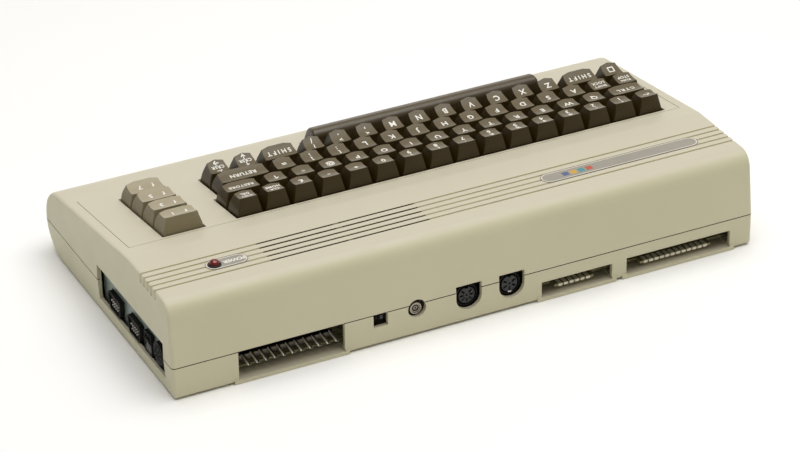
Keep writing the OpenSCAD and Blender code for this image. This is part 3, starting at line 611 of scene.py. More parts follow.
@dataclass(frozen=True)
class BoardLacquer(Finish):
    """Circuit board lacquer over raised copper tracks."""

    track: Colour = (0.05, 0.16, 0.06)

    def tint(self, tree: NodeTree, place: NodeSocket) -> NodeSocket:
        """Makes the lacquer's colour, with lighter bands where tracks run.

        Args:
            tree: the material's nodes.
            place: the coordinates it reads.

        Returns:
            The colour.
        """
        bands = {
            "Vector": place,
            "Scale": 60.0,
            "Mortar Size": 0.06,
            "Color1": (*self.base, 1.0),
            "Color2": (*self.shade, 1.0),
            "Mortar": (*self.track, 1.0),
        }
        return add_node(tree, "TexBrick", bands).outputs["Color"]


# The up-facing colours of the case, key, space bar and function key finishes are painted light: a painted
# sheen on tops lit from above.
CASE_PLASTIC = Finish(
    "case_plastic", (0.589, 0.555, 0.391), (0.561, 0.527, 0.364), (0.42, 0.55), 9.0, 1300.0, 0.03, 0.22,
    painted_top_light=(0.590, 0.545, 0.424),
)
KEY_PLASTIC = Finish(
    "key_plastic", (0.045, 0.029, 0.007), (0.038, 0.024, 0.005), (0.28, 0.40), 30.0, 2200.0, 0.02, 0.35,
    specular=0.36, painted_top_light=(0.140, 0.110, 0.064),
)
BAR_PLASTIC = Finish(
    "space_bar_plastic", (0.062, 0.044, 0.019), (0.055, 0.038, 0.016), (0.30, 0.42), 30.0, 2200.0, 0.02, 0.35,
    painted_top_light=(0.090, 0.068, 0.034),
)
FKEY_PLASTIC = Finish(
    "function_key_plastic", (0.225, 0.188, 0.113), (0.205, 0.170, 0.098), (0.38, 0.5), 30.0, 2200.0, 0.02,
    0.3, painted_top_light=(0.375, 0.325, 0.220),
)
INK = Finish("legend_ink", (0.88, 0.86, 0.79), (0.80, 0.78, 0.71), (0.4, 0.5), 60.0, 1500.0, 0.01, 0.15)
SOCKET_FACE = Finish(
    "socket_face", (0.017, 0.018, 0.020), (0.012, 0.013, 0.015), (0.34, 0.46), 60.0, 1800.0, 0.02, 0.3
)
DEEP_BLACK = Finish(
    "deep_black", (0.009, 0.008, 0.007), (0.006, 0.006, 0.005), (0.6, 0.75), 60.0, 1800.0, 0.02, 0.3,
    specular=0.25,
)
# Painted shade: a dark colour for the walls of the vent slots and the seam gap.
VENT_SHADE = Finish(
    "vent_shade", (0.045, 0.033, 0.016), (0.034, 0.025, 0.012), (0.7, 0.85), 60.0, 1500.0, 0.02, 0.2
)
BLACK_PLASTIC = Finish(
    "black_plastic", (0.014, 0.013, 0.012), (0.010, 0.009, 0.009), (0.32, 0.5), 60.0, 1800.0, 0.02, 0.3
)
ROCKER_PLASTIC = Finish(
    "rocker_plastic", (0.022, 0.021, 0.020), (0.015, 0.014, 0.014), (0.25, 0.35), 60.0, 1800.0, 0.01, 0.2
)
RUBBER = Finish(
    "foot_rubber", (0.022, 0.021, 0.020), (0.014, 0.013, 0.013), (0.75, 0.9), 80.0, 900.0, 0.05, 0.5
)
STEEL = BrushedMetal("spring_steel", (0.62, 0.61, 0.58), (0.5, 0.49, 0.46), (0.2, 0.34), 40.0, metallic=1.0)
TIN = BrushedMetal("tinned_sheet", (0.55, 0.54, 0.5), (0.42, 0.41, 0.38), (0.3, 0.5), 40.0, metallic=1.0)
HEAT_SINK = BrushedMetal(
    "heat_sink_metal", (0.05, 0.05, 0.05), (0.03, 0.03, 0.03), (0.4, 0.5), 40.0, metallic=0.6
)
BOARD = BoardLacquer(
    "board_lacquer", (0.16, 0.15, 0.06), (0.14, 0.13, 0.05), (0.3, 0.4), track=(0.24, 0.22, 0.11)
)
PIN_TIN = BrushedMetal("pin_tin", (0.85, 0.82, 0.74), (0.72, 0.69, 0.62), (0.25, 0.35), 90.0, metallic=0.4)
CONTACT = BrushedMetal("contact_tin", (0.84, 0.79, 0.64), (0.72, 0.67, 0.53), (0.3, 0.45), 90.0, metallic=0.2)
SLEEVE = Finish("capacitor_sleeve", (0.02, 0.045, 0.12), (0.015, 0.035, 0.1), (0.2, 0.3), 40.0)
FUSE_GLASS = Finish("fuse_glass", (0.6, 0.62, 0.6), (0.5, 0.52, 0.5), (0.05, 0.1), 40.0)
PORT_PLATE = BrushedMetal(
    "port_plate_metal", (0.25, 0.30, 0.27), (0.20, 0.245, 0.225), (0.3, 0.42), 30.0, metallic=0.45
)
PLATE = BrushedMetal(
    "plate_metal", (0.43, 0.395, 0.335), (0.39, 0.36, 0.305), (0.3, 0.4), 60.0, metallic=0.35
)
DULL_STEEL = BrushedMetal(
    "dull_steel", (0.38, 0.34, 0.28), (0.24, 0.21, 0.17), (0.28, 0.42), 60.0, metallic=0.9
)
# Painted highlight: near white, for the turned-up edges of the cartridge slot's fingers.
PAINTED_EDGE_HIGHLIGHT = BrushedMetal(
    "painted_edge_highlight", (0.93, 0.91, 0.82), (0.86, 0.84, 0.74), (0.3, 0.4), 90.0, metallic=0.0
)
LAMP_LENS = Finish("lamp_lens", (0.20, 0.006, 0.008), (0.13, 0.003, 0.004), (0.08, 0.16), 200.0, coat=0.5)
LEAD = Finish("lead_sleeve", (0.17, 0.02, 0.02), (0.12, 0.014, 0.014), (0.4, 0.5), 60.0)
RIBBON = Finish("ribbon_cable", (0.27, 0.28, 0.29), (0.22, 0.23, 0.24), (0.4, 0.5), 60.0)
FLOOR_PAINT = Finish(
    "floor_paint", (0.98, 0.98, 0.98), (0.97, 0.97, 0.97), (0.8, 0.9), 3.0, 200.0, 0.02, 0.05, specular=0.1
)
TILE_INKS = (
    Finish("tile_rust", (0.50, 0.10, 0.05), (0.46, 0.09, 0.045), (0.35, 0.45), 80.0),
    Finish("tile_sea", (0.08, 0.30, 0.32), (0.07, 0.27, 0.29), (0.35, 0.45), 80.0),
    Finish("tile_ochre", (0.62, 0.36, 0.06), (0.57, 0.33, 0.05), (0.35, 0.45), 80.0),
    Finish("tile_slate", (0.10, 0.13, 0.25), (0.09, 0.12, 0.22), (0.35, 0.45), 80.0),
)


# ---------------------------------------------------------------- studio


@dataclass
class Studio:
    """Camera, pale floor and soft light."""

    camera_place: Place = (833.555, 1818.756, 1135.603)
    yaw: float = -0.430540
    pitch: float = 0.510687
    roll: float = -0.033560
    focal_px: float = 3537.056
    picture_px: float = 800.0
    sensor: float = 36.0
    floor_size: float = 5000.0
    floor_t: float = 20.0
    floor_gap: float = 0.02
    sky: float = 0.36
    side_sky: float = 0.12
    horizon: float = 0.95
    light_place: Place = (-150.0, 150.0, 1900.0)
    light_size: float = 1900.0
    light_power: float = 36.0

    def set_camera(self) -> None:
        """Places the camera on its line of sight and makes it the scene's own."""
        ahead = Vector((
            math.sin(self.yaw) * math.cos(self.pitch),
            -math.cos(self.yaw) * math.cos(self.pitch),
            -math.sin(self.pitch),
        ))
        right = ahead.cross(Vector((0, 0, 1))).normalized()
        up = right.cross(ahead)
        side = right * math.cos(self.roll) + up * math.sin(self.roll)
        top = up * math.cos(self.roll) - right * math.sin(self.roll)
        turn = Matrix((side, top, -ahead)).transposed().to_4x4()
        lens = bpy.data.cameras.new("view_camera")
        lens.sensor_fit = "HORIZONTAL"
        lens.sensor_width = self.sensor
        lens.lens = self.focal_px / self.picture_px * self.sensor
        lens.clip_start = 0.05
        lens.clip_end = 60.0
        camera = add_object("view_camera", lens)
        camera.matrix_world = shift(*self.camera_place) @ turn
        bpy.context.scene.camera = camera

    def lay_floor(self) -> None:
        """Adds the floor and its matt white finish."""
        half = self.floor_size / 2
        floor = block("studio_floor", (-half, -half, -self.floor_t), (half, half, -self.floor_gap))
        bevel(floor, 4, 2, lambda start, end: True)
        floor.data.materials.append(FLOOR_PAINT.material())

    def hang_light(self) -> None:
        """Hangs the square soft light, which faces the object."""
        lamp = bpy.data.lights.new("key_light", "AREA")
        lamp.shape = "SQUARE"
        lamp.size = self.light_size * MM
        lamp.energy = self.light_power
        light = add_object("key_light", lamp)
        light.location = Vector(self.light_place) * MM
        light.rotation_euler = light.location.to_track_quat("Z", "Y").to_euler()

    def paint_sky(self) -> None:
        """Makes the world: dim above and behind the camera, bright low down beyond the object."""
        world = bpy.data.worlds.new("studio_world")
        world.use_nodes = True
        tree = world.node_tree
        ahead = add_node(tree, "TexCoord", {}).outputs["Generated"]
        way = add_node(tree, "SeparateXYZ", {"Vector": ahead}).outputs
        low = stretch(tree, way["Z"], 0.5, 0.05)
        beyond = stretch(tree, way["Y"], 0.2, -0.5)
        dim = stretch(tree, way["X"], 0.0, 0.9, self.sky, self.side_sky)
        glow = add_node(tree, "Math", {0: low, 1: beyond}, "MULTIPLY").outputs["Value"]
        power = add_node(tree, "Math", {0: glow, 1: self.horizon, 2: dim}, "MULTIPLY_ADD").outputs["Value"]
        tones = {"Fac": beyond, "Color1": (1.0, 0.95, 0.80, 1.0), "Color2": (1.0, 0.99, 0.97, 1.0)}
        colour = add_node(tree, "MixRGB", tones).outputs["Color"]
        feed(tree, tree.nodes["Background"], {"Color": colour, "Strength": power})
        bpy.context.scene.world = world

    def build(self) -> None:
        """Builds the whole studio."""
        self.set_camera()
        self.lay_floor()
        self.paint_sky()
        self.hang_light()
        bpy.context.scene.view_settings.view_transform = "Standard"
        log.info("studio is set")


# ---------------------------------------------------------------- keyboard


@dataclass(frozen=True)
class CapTop:
    """Heights and place of a cap's top in its row."""

    rear_z: float
    front_z: float
    length: float
    rear_gap: float


@dataclass(frozen=True)
class Plunger:
    """The square stem below a cap, with a collar that rests on its spring."""

    width: float = 3.6
    low_z: float = -11.9
    collar: float = 10.0
    collar_z: float = 1.9
    collar_t: float = 1.2

    def build(self, x: float, y: float, peak: float) -> list[Object]:
        """Makes the stem and its collar about a place.

        Args:
            x: the place in X.
            y: the place in Y.
            peak: the stem's upper end.

        Returns:
            The stem and the collar.
        """
        half, wide, top = self.width / 2, self.collar / 2, self.collar_z + self.collar_t
        return [
            block("stem", (x - half, y - half, self.low_z), (x + half, y + half, peak)),
            block("collar", (x - wide, y - wide, self.collar_z), (x + wide, y + wide, top)),
        ]


def deepen(hollow: Object) -> Object:
    """Draws a hollow's floor down, so that it cuts right through the open underside of its cap.

    Args:
        hollow: the solid that will be cut from a cap.

    Returns:
        The same solid.
    """
    with editing(hollow, "FACE"):
        mark(hollow, "FACE", lambda middle, normal: normal.z < -0.9)
        bpy.ops.mesh.extrude_region_move(TRANSFORM_OT_translate={"value": (0, 0, -1 * MM)})
    return hollow


@dataclass
class KeyCap:
    """One moulded key cap in the keyboard's frame, its middle at x = 0 and its rear line at y = 0."""

    top: CapTop
    units: float
    pitch: float = 19.05
    gap: float = 1.0
    base_z: float = -2.4
    taper: float = 7.4
    taper_z: float = 14.0
    wall: float = 1.5
    base_round: float = 0.5
    top_round: float = 1.1
    rim_round: float = 0.35
    # How far the hollow's top lies below the cap's, for each millimetre of wall.
    drop: float = 1.2
    rear_swell: float = 0.8
    front_swell: float = 1.2
    slice_w: float = 4.6
    rear_slice: float = 1.0
    front_slice: float = 1.4
    dish_radius: float = 22.0
    dish_depth: float = 1.09
    belly: float = 0.07
    belly_cuts: int = 6
    roof: float = 1.4

    @property
    def half(self) -> float:
        """Half of the cap's base width."""
        return (self.units * self.pitch - self.gap) / 2

    @property
    def rear_y(self) -> float:
        """Rear line of the top."""
        return -self.gap / 2 - self.top.rear_gap + self.rear_swell

    @property
    def front_y(self) -> float:
        """Front line of the top."""
        return self.rear_y - self.top.length - self.rear_swell - self.front_swell

    @property
    def lean(self) -> float:
        """The rise of the top from rear to front, in radians."""
        return math.atan2(self.top.front_z - self.top.rear_z, self.top.length)

    def half_at(self, z: float) -> float:
        """Returns half of the cap's width at a height."""
        return self.half - self.taper / 2 * (z - self.base_z) / (self.taper_z - self.base_z)

    def dish_axis(self, fall: float = 0.0) -> tuple[float, float]:
        """Works out where the axis of the dish lies.

        Args:
            fall: how far it is moved down.

        Returns:
            Its places in Y and Z.
        """
        rise = self.dish_radius - self.dish_depth
        y = (self.front_y + self.rear_y) / 2 + math.sin(self.lean) * rise
        return y, (self.top.rear_z + self.top.front_z) / 2 - fall + math.cos(self.lean) * rise

    def dish_z(self, y: float) -> float:
        """Returns the height of the dished top at a place between front and rear."""
        centre_y, centre_z = self.dish_axis()
        return centre_z - math.sqrt(max(self.dish_radius**2 - (y - centre_y) ** 2, 0.0))

    def ring(self, name: str, inset: float, upper: bool) -> Object:
        """Makes the outline of the cap's base or top as a face with round corners.

        Args:
            name: the outline's name.
            inset: how far it is moved inwards.
            upper: True for the top, which is moved down a little more than the inset.

        Returns:
            The outline.
        """
        bpy.ops.object.select_all(action="DESELECT")
        bpy.ops.mesh.primitive_plane_add(size=2)
        ring = named(name)
        low_y, high_y = -self.pitch + self.gap / 2 + inset, -self.gap / 2 - inset
        low_z = high_z = self.base_z
        if upper:
            low_y, high_y = self.front_y + inset, self.rear_y - inset
            low_z, high_z = self.top.front_z - self.drop * inset, self.top.rear_z - self.drop * inset
        for vert in ring.data.vertices:
            y, z = (high_y, high_z) if vert.co.y > 0 else (low_y, low_z)
            vert.co = Vector((math.copysign(self.half_at(z) - inset, vert.co.x), y, z)) * MM
        size = max((self.top_round if upper else self.base_round) - inset, 0.3)
        bevel(ring, size, 4, lambda spot: True, "VERT")
        return ring

    def loft(self, name: str, inset: float) -> Object:
        """Draws a closed form from the base outline to the top outline and dishes its top.

        Args:
            name: the form's name.
            inset: how far all its faces are moved inwards.

        Returns:
            The form.
        """
        form = gather(name, [self.ring("base_ring", inset, False), self.ring("top_ring", inset, True)])
        belly = self.belly if inset == 0 else 0.0
        with editing(form, "EDGE"):
            bpy.ops.mesh.select_all(action="SELECT")
            bpy.ops.mesh.bridge_edge_loops(
                number_cuts=self.belly_cuts, profile_shape="SMOOTH", profile_shape_factor=belly
            )
            face_out()
        spot = (0, *self.dish_axis(self.drop * inset))
        return carve(form, rod("dish", spot, self.dish_radius, self.units * self.pitch, Axis.X, 180))

    def slice_corner(self, form: Object, side: int, rear: bool) -> None:
        """Slices an upright corner along a long arc from the base, so that its faces end in an arch.

        Args:
            form: the cap's form.
            side: 1 or -1, the corner's side.
            rear: True for a rear corner.
        """
        top_y, top_z = (self.rear_y, self.top.rear_z) if rear else (self.front_y, self.top.front_z)
        base = Vector((side * self.half, -self.gap / 2 if rear else self.gap / 2 - self.pitch))
        half = self.half_at(top_z)
        depth = -self.rear_slice if rear else self.front_slice
        inner, outer = Vector((side * (half - self.slice_w), top_y)), Vector((side * half, top_y + depth))
        along = (outer - inner).normalized()
        out = Vector((-along.y, along.x)) * (side if rear else -side)
        start = Vector((base.dot(out), self.base_z))
        lean = (Vector((Vector((side * half, top_y)).dot(out), top_z)) - start).normalized()
        inward = Vector((-lean.y, lean.x))
        goal = Vector((inner.dot(out), top_z)) - start
        radius = goal.length_squared / (2 * goal.dot(inward))
        centre = start + radius * inward
        tool = rod("slice", (0, 0, 0), radius, 300, Axis.X, 360)
        place = shift(*(out * centre.x), centre.y)
        move_to(tool, place @ Matrix.Rotation(math.atan2(along.y, along.x), 4, "Z"))
        carve(form, tool, way="INTERSECT")

    def build(self, name: str) -> Object:
        """Makes the hollow cap with its rounded rim and its plunger.

        Args:
            name: the cap's name.

        Returns:
            The cap.
        """
        cap = self.loft(name, 0.0)
        for side in (-1, 1):
            for rear in (True, False):
                self.slice_corner(cap, side, rear)
        with editing(cap, "EDGE"):
            mark_rims(cap, lambda middle: middle.z > self.dish_z(middle.y) - 0.05, 0.35)
            bpy.ops.mesh.bevel(offset=self.rim_round * MM, segments=2, clamp_overlap=False)
        carve(cap, deepen(self.loft("hollow", self.wall)))
        smooth(cap, 32)
        peak = min(self.top.rear_z, self.top.front_z) - self.roof
        parts = Plunger().build(0, -self.pitch / 2, peak)
        for part in parts:
            round_edges(part, 0.2, 1)
        return gather(name, [cap, *parts])


@dataclass
class KeySprings:
    """Coil springs round the plungers of one group of keys."""

    panel: Matrix
    node: str
    radius: float = 4.36
    wire: float = 0.28
    low_z: float = -9.38
    high_z: float = 1.78
    turns: int = 6
    steps: int = 14
    travel: float = 3.85

    def coil(self) -> Object:
        """Winds one spring about the Z axis.

        Returns:
            The spring, with both ends of its wire closed.
        """
        bpy.ops.object.select_all(action="DESELECT")
        spot = Vector((self.radius, 0, self.low_z + self.wire)) * MM
        bpy.ops.mesh.primitive_circle_add(
            vertices=6, radius=self.wire * MM, rotation=Axis.Y.value, location=spot
        )
        spring = named("coil")
        rise = (self.high_z - self.low_z - 2 * self.wire) / self.turns
        turns = {"iterations": self.turns, "steps": self.steps, "render_steps": self.steps}
        apply_modifier(spring, "SCREW", axis="Z", screw_offset=rise * MM, use_smooth_shade=True, **turns)
        with editing(spring, "EDGE"):
            merge(0.001)
            bpy.ops.mesh.fill_holes(sides=0)
            face_out()
        return spring

    def build(self, spots: list[tuple[float, float]]) -> None:
        """Sets a spring at each place on the panel.

        Args:
            spots: the plungers' places in the keyboard's frame.
        """
        coil = self.coil()
        springs = []
        for i, (x, y) in enumerate(spots):
            place = self.panel @ shift(x, y)
            springs.append(move_to(twin(coil, f"spring_{i}"), place))
        bpy.data.objects.remove(coil, do_unlink=True)
        piece = gather(f"{self.node}_springs", springs)
        install(piece, BODY, STEEL, Slot.STEEL, "key_springs")
        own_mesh(piece)


@dataclass(frozen=True)
class Legend:
    """Words on a key's top: what they say, their size, place from the top's middle and spacing."""

    words: str
    size: float = 5.0
    x: float = 0.0
    y: float = 0.0
    spacing: float = 1.0


def letters(signs: str) -> list[list[Legend]]:
    """Returns the legends of plain keys, with one sign on each."""
    return [[Legend(sign, 5.8, 0, 0.3)] for sign in signs]


def pairs(*signs: str) -> list[list[Legend]]:
    """Returns the legends of keys with a sign above another."""
    return [[Legend(upper, 4.4, 0, 2.5), Legend(lower, 5.0, 0, -2.1)] for upper, lower in signs]


def words(*lines: str, size: float = 3.3, spacing: float = 1.1) -> list[Legend]:
    """Returns the legends of a key with one or two short lines."""
    step, first = size * 1.15, (len(lines) - 1) / 2
    return [Legend(line, size, 0, (first - i) * step + 0.2, spacing) for i, line in enumerate(lines)]


def turned(before: str, after: str) -> list[Legend]:
    """Returns the legends of a key that moves the cursor, with an arrow on either side of the word."""
    return [Legend(before, 4.6, 0, 3.3), Legend("CRSR", 3.3, 0, 0.2, 1.15), Legend(after, 4.6, 0, -2.9)]


@dataclass
class KeyGroup:
    """Keys side by side that move with one body."""

    node: str
    start: float
    row: int
    legends: list[list[Legend]]
    units: float = 1.0


@dataclass
class Keyboard:
    """All keys, on the keyboard panel."""

    origin_x: float = -32.0
    origin_y: float = 23.0
    tilt: float = 7.5
    ridge_y: float = 40.0
    top_z: float = 66.2
    pitch: float = 19.05
    left: float = -8.25
    fkey_x: float = 188.1
    letter_lift: float = 0.03
    rows: tuple[CapTop, ...] = (
        CapTop(12.4, 12.8, 9.4, 0.5),
        CapTop(10.6, 11.8, 9.8, 0.5),
        CapTop(9.5, 12.2, 10.1, 0.7),
        CapTop(9.6, 14.0, 8.6, 1.1),
    )
    fkey_rows: tuple[CapTop, ...] = (
        CapTop(11.8, 11.9, 10.8, 0.9),
        CapTop(10.8, 11.9, 10.8, 0.8),
        CapTop(9.9, 11.9, 10.8, 0.7),
        CapTop(9.0, 12.0, 10.8, 0.7),
    )
    models: dict[tuple[CapTop, float], Object] = field(default_factory=dict)

    @property
    def panel(self) -> Matrix:
        """The keyboard's frame on the sloping panel, in metres."""
        tilt = math.radians(self.tilt)
        height = self.top_z + (self.origin_y - self.ridge_y) * math.tan(tilt)
        return shift(self.origin_x, self.origin_y, height) @ Matrix.Rotation(tilt, 4, "X")

    def groups(self) -> list[KeyGroup]:
        """Lists the dark keys.

        Returns:
            Their groups, with the legends of each key.
        """
        left = self.left
        digits = pairs("!1", '"2', "#3", "$4", "%5", "&6", "'7", "(8", ")9") + letters("0")
        middle_row = letters("ASDFGHJKL") + pairs("[:", "];") + letters("=")
        lower_row = letters("ZXCVBNM") + pairs("<,", ">.", "?/")
        shift = words("SHIFT", size=4.6, spacing=1.55)
        return [
            KeyGroup("left_arrow_key", -8, 0, letters("←")),
            KeyGroup("digit_keys", -7, 0, digits),
            KeyGroup("sign_keys", 3, 0, letters("+-£")),
            KeyGroup("home_key", 6, 0, [words("CLR", "HOME")]),
            KeyGroup("delete_key", 7, 0, [words("INST", "DEL")]),
            KeyGroup("control_key", -8, 1, [words("CTRL", size=4.4, spacing=1.35)], 1.5),
            KeyGroup("upper_row_keys", -6.5, 1, letters("QWERTYUIOP@*↑")),
            KeyGroup("restore_key", 6.5, 1, [words("RESTORE", size=3.8, spacing=1.12)], 1.5),
            KeyGroup("stop_key", left, 2, [words("RUN", "STOP")]),
            KeyGroup("shift_lock_key", left + 1, 2, [words("SHIFT", "LOCK")]),
            KeyGroup("middle_row_keys", left + 2, 2, middle_row),
            KeyGroup("return_key", left + 14, 2, [words("RETURN", size=4.5, spacing=1.1)], 2),
            KeyGroup("symbol_key", left, 3, [[Legend("□", 5.6)]]),
            KeyGroup("left_shift_key", left + 1, 3, [shift], 1.5),
            KeyGroup("lower_row_keys", left + 2.5, 3, lower_row),
            KeyGroup("right_shift_key", left + 12.5, 3, [shift], 1.5),
            KeyGroup("cursor_down_key", left + 14, 3, [turned("↑", "↓")]),
            KeyGroup("cursor_right_key", left + 15, 3, [turned("←", "→")]),
        ]

    def model(self, top: CapTop, units: float) -> Object:
        """Returns the cap that keys of a row and width are copied from, made once.

        Args:
            top: the row's top.
            units: the key's width in key units.

        Returns:
            The cap, without its legend.
        """
        if (top, units) not in self.models:
            self.models[top, units] = KeyCap(top, units).build("cap_model")
        return self.models[top, units]

    def set_key(
        self,
        node: str,
        name: str,
        x: float,
        row: int,
        cap: KeyCap,
        legends: list[Legend],
        finish: Finish,
        slot: Slot,
    ) -> list[Object]:
        """Sets one key in its place.

        Args:
            node: the CAD node and body that the key belongs to.
            name: the key's name.
            x: its middle in the keyboard's frame.
            row: its row, counted from the rear.
            cap: the cap's sizes.
            legends: what its top says.
            finish: the cap's finish.
            slot: the record's slot of that finish.

        Returns:
            The lettering parts, not yet painted.
        """
        place = self.panel @ shift(x, -row * self.pitch)
        key = twin(self.model(cap.top, cap.units), name)
        install(move_to(key, place), node, finish, slot, node)
        middle = (cap.front_y + cap.rear_y) / 2
        lettering = []
        for i, legend in enumerate(legends):
            spot = (legend.x, middle + legend.y)
            part = engrave(f"{name}_letters_{i}", legend.words, legend.size, spot, spacing=legend.spacing)
            for vert in part.data.vertices:
                vert.co.z += (cap.dish_z(vert.co.y / MM) + self.letter_lift) * MM
            lettering.append(move_to(part, place))
        return lettering

    def build(self) -> None:
        """Builds the dark keys, the function keys and the space bar."""
        for group in self.groups():
            lettering: list[Object] = []
            spots = []
            for i, legends in enumerate(group.legends):
                cap = KeyCap(self.rows[group.row], group.units)
                x = (group.start + (i + 0.5) * group.units) * self.pitch
                spots.append((x, -(group.row + 0.5) * self.pitch))
                lettering += self.set_key(
                    group.node, f"{group.node}_cap_{i}", x, group.row, cap, legends, KEY_PLASTIC, Slot.KEY
                )
            install(gather(f"{group.node}_legends", lettering), group.node, INK, Slot.KEY)
            KeySprings(self.panel, group.node).build(spots)
        for row, top in enumerate(self.fkey_rows):
            node = f"f{row * 2 + 1}_key"
            legends = [Legend("f", 5.4, -5.2, 0), Legend(str(row * 2 + 1), 5.4, 3.6, 0)]
            cap, slot = KeyCap(top, 1.5), Slot.FUNCTION_KEY
            lettering = self.set_key(node, f"{node}_cap", self.fkey_x, row, cap, legends, FKEY_PLASTIC, slot)
            install(gather(f"{node}_legends", lettering), node, INK, slot)
            KeySprings(self.panel, node).build([(self.fkey_x, -(row + 0.5) * self.pitch)])
        for model in self.models.values():
            bpy.data.objects.remove(model, do_unlink=True)
        SpaceBar(self.panel).build()


@dataclass
class SpaceBar:
    """The long key in front, with a crowned top and round ends."""

    panel: Matrix
    start: float = -5.43
    end: float = 3.57
    row: int = 4
    pitch: float = 19.05
    gap: float = 1.0
    base_z: float = -2.4
    rear_top: tuple[float, float] = (-0.9, 13.45)
    front_top: tuple[float, float] = (-12.6, 12.15)
    rear_round: float = 6.0
    front_round: float = 2.7
    lean: float = 0.2256
    wall: float = 1.5
    end_round: float = 1.6
    end_zone: float = 5.0
    stem_top: float = 11.9

    @property
    def half(self) -> float:
        """Half of the bar's length."""
        return ((self.end - self.start) * self.pitch - self.gap) / 2

    def form(self, name: str, inset: float) -> Object:
        """Draws the bar's side outline across its length and leans its ends in.

        Args:
            name: the form's name.
            inset: how far its faces are moved inwards.

        Returns:
            The form.
        """
        half = self.half - inset
        corners = (
            (-self.pitch + self.gap / 2 + inset, self.base_z),
            (-self.gap / 2 - inset, self.base_z),
            (self.rear_top[0] - inset, self.rear_top[1] - inset),
            (self.front_top[0] + inset * 0.6, self.front_top[1] - inset),
        )
        bpy.ops.object.select_all(action="DESELECT")
        bpy.ops.mesh.primitive_plane_add(size=2)
        form = named(name)
        order = {(-1, -1): 0, (1, -1): 1, (1, 1): 2, (-1, 1): 3}
        for vert in form.data.vertices:
            y, z = corners[order[round(vert.co.x), round(vert.co.y)]]
            vert.co = Vector((-half, y, z)) * MM
        for spot, size in ((2, self.rear_round), (3, self.front_round)):
            y, z = corners[spot]
            bevel(form, size, 12, lambda p: abs(p.y - y) < 0.01 and abs(p.z - z) < 0.01, "VERT")
        with editing(form, "FACE"):
            bpy.ops.mesh.select_all(action="SELECT")
            bpy.ops.mesh.extrude_region_move(TRANSFORM_OT_translate={"value": (2 * half * MM, 0, 0)})
            face_out()
        for vert in form.data.vertices:
            vert.co.x -= math.copysign((vert.co.z - self.base_z * MM) * self.lean, vert.co.x)
        return form

    def build(self) -> None:
        """Makes the bar and mounts it."""
        bar = self.form("space_bar_cap", 0.0)
        end, low = self.half - self.end_zone, self.base_z + 0.5

        def at_end(a: Vector, b: Vector) -> bool:
            """Tells whether an edge belongs to the rim of one end, above the base."""
            return a.x * b.x > 0 and min(abs(a.x), abs(b.x)) > end and max(a.z, b.z) > low

        bevel(bar, self.end_round, 4, at_end)
        carve(bar, deepen(self.form("bar_hollow", self.wall)))
        smooth(bar, 32)
        middle = (self.start + self.end) / 2
        stems = (self.start + 1, middle, self.end - 1)
        parts = [bar]
        for at in stems:
            parts += Plunger().build((at - middle) * self.pitch, -self.pitch / 2, self.stem_top)
        bar = gather("space_bar_cap", parts)
        place = self.panel @ shift(middle * self.pitch, -self.row * self.pitch)
        install(move_to(bar, place), "space_bar", BAR_PLASTIC, Slot.KEY, "space_bar")
        springs = KeySprings(self.panel, "space_bar")
        springs.build([(at * self.pitch, -(self.row + 0.5) * self.pitch) for at in stems])


# ---------------------------------------------------------------- case


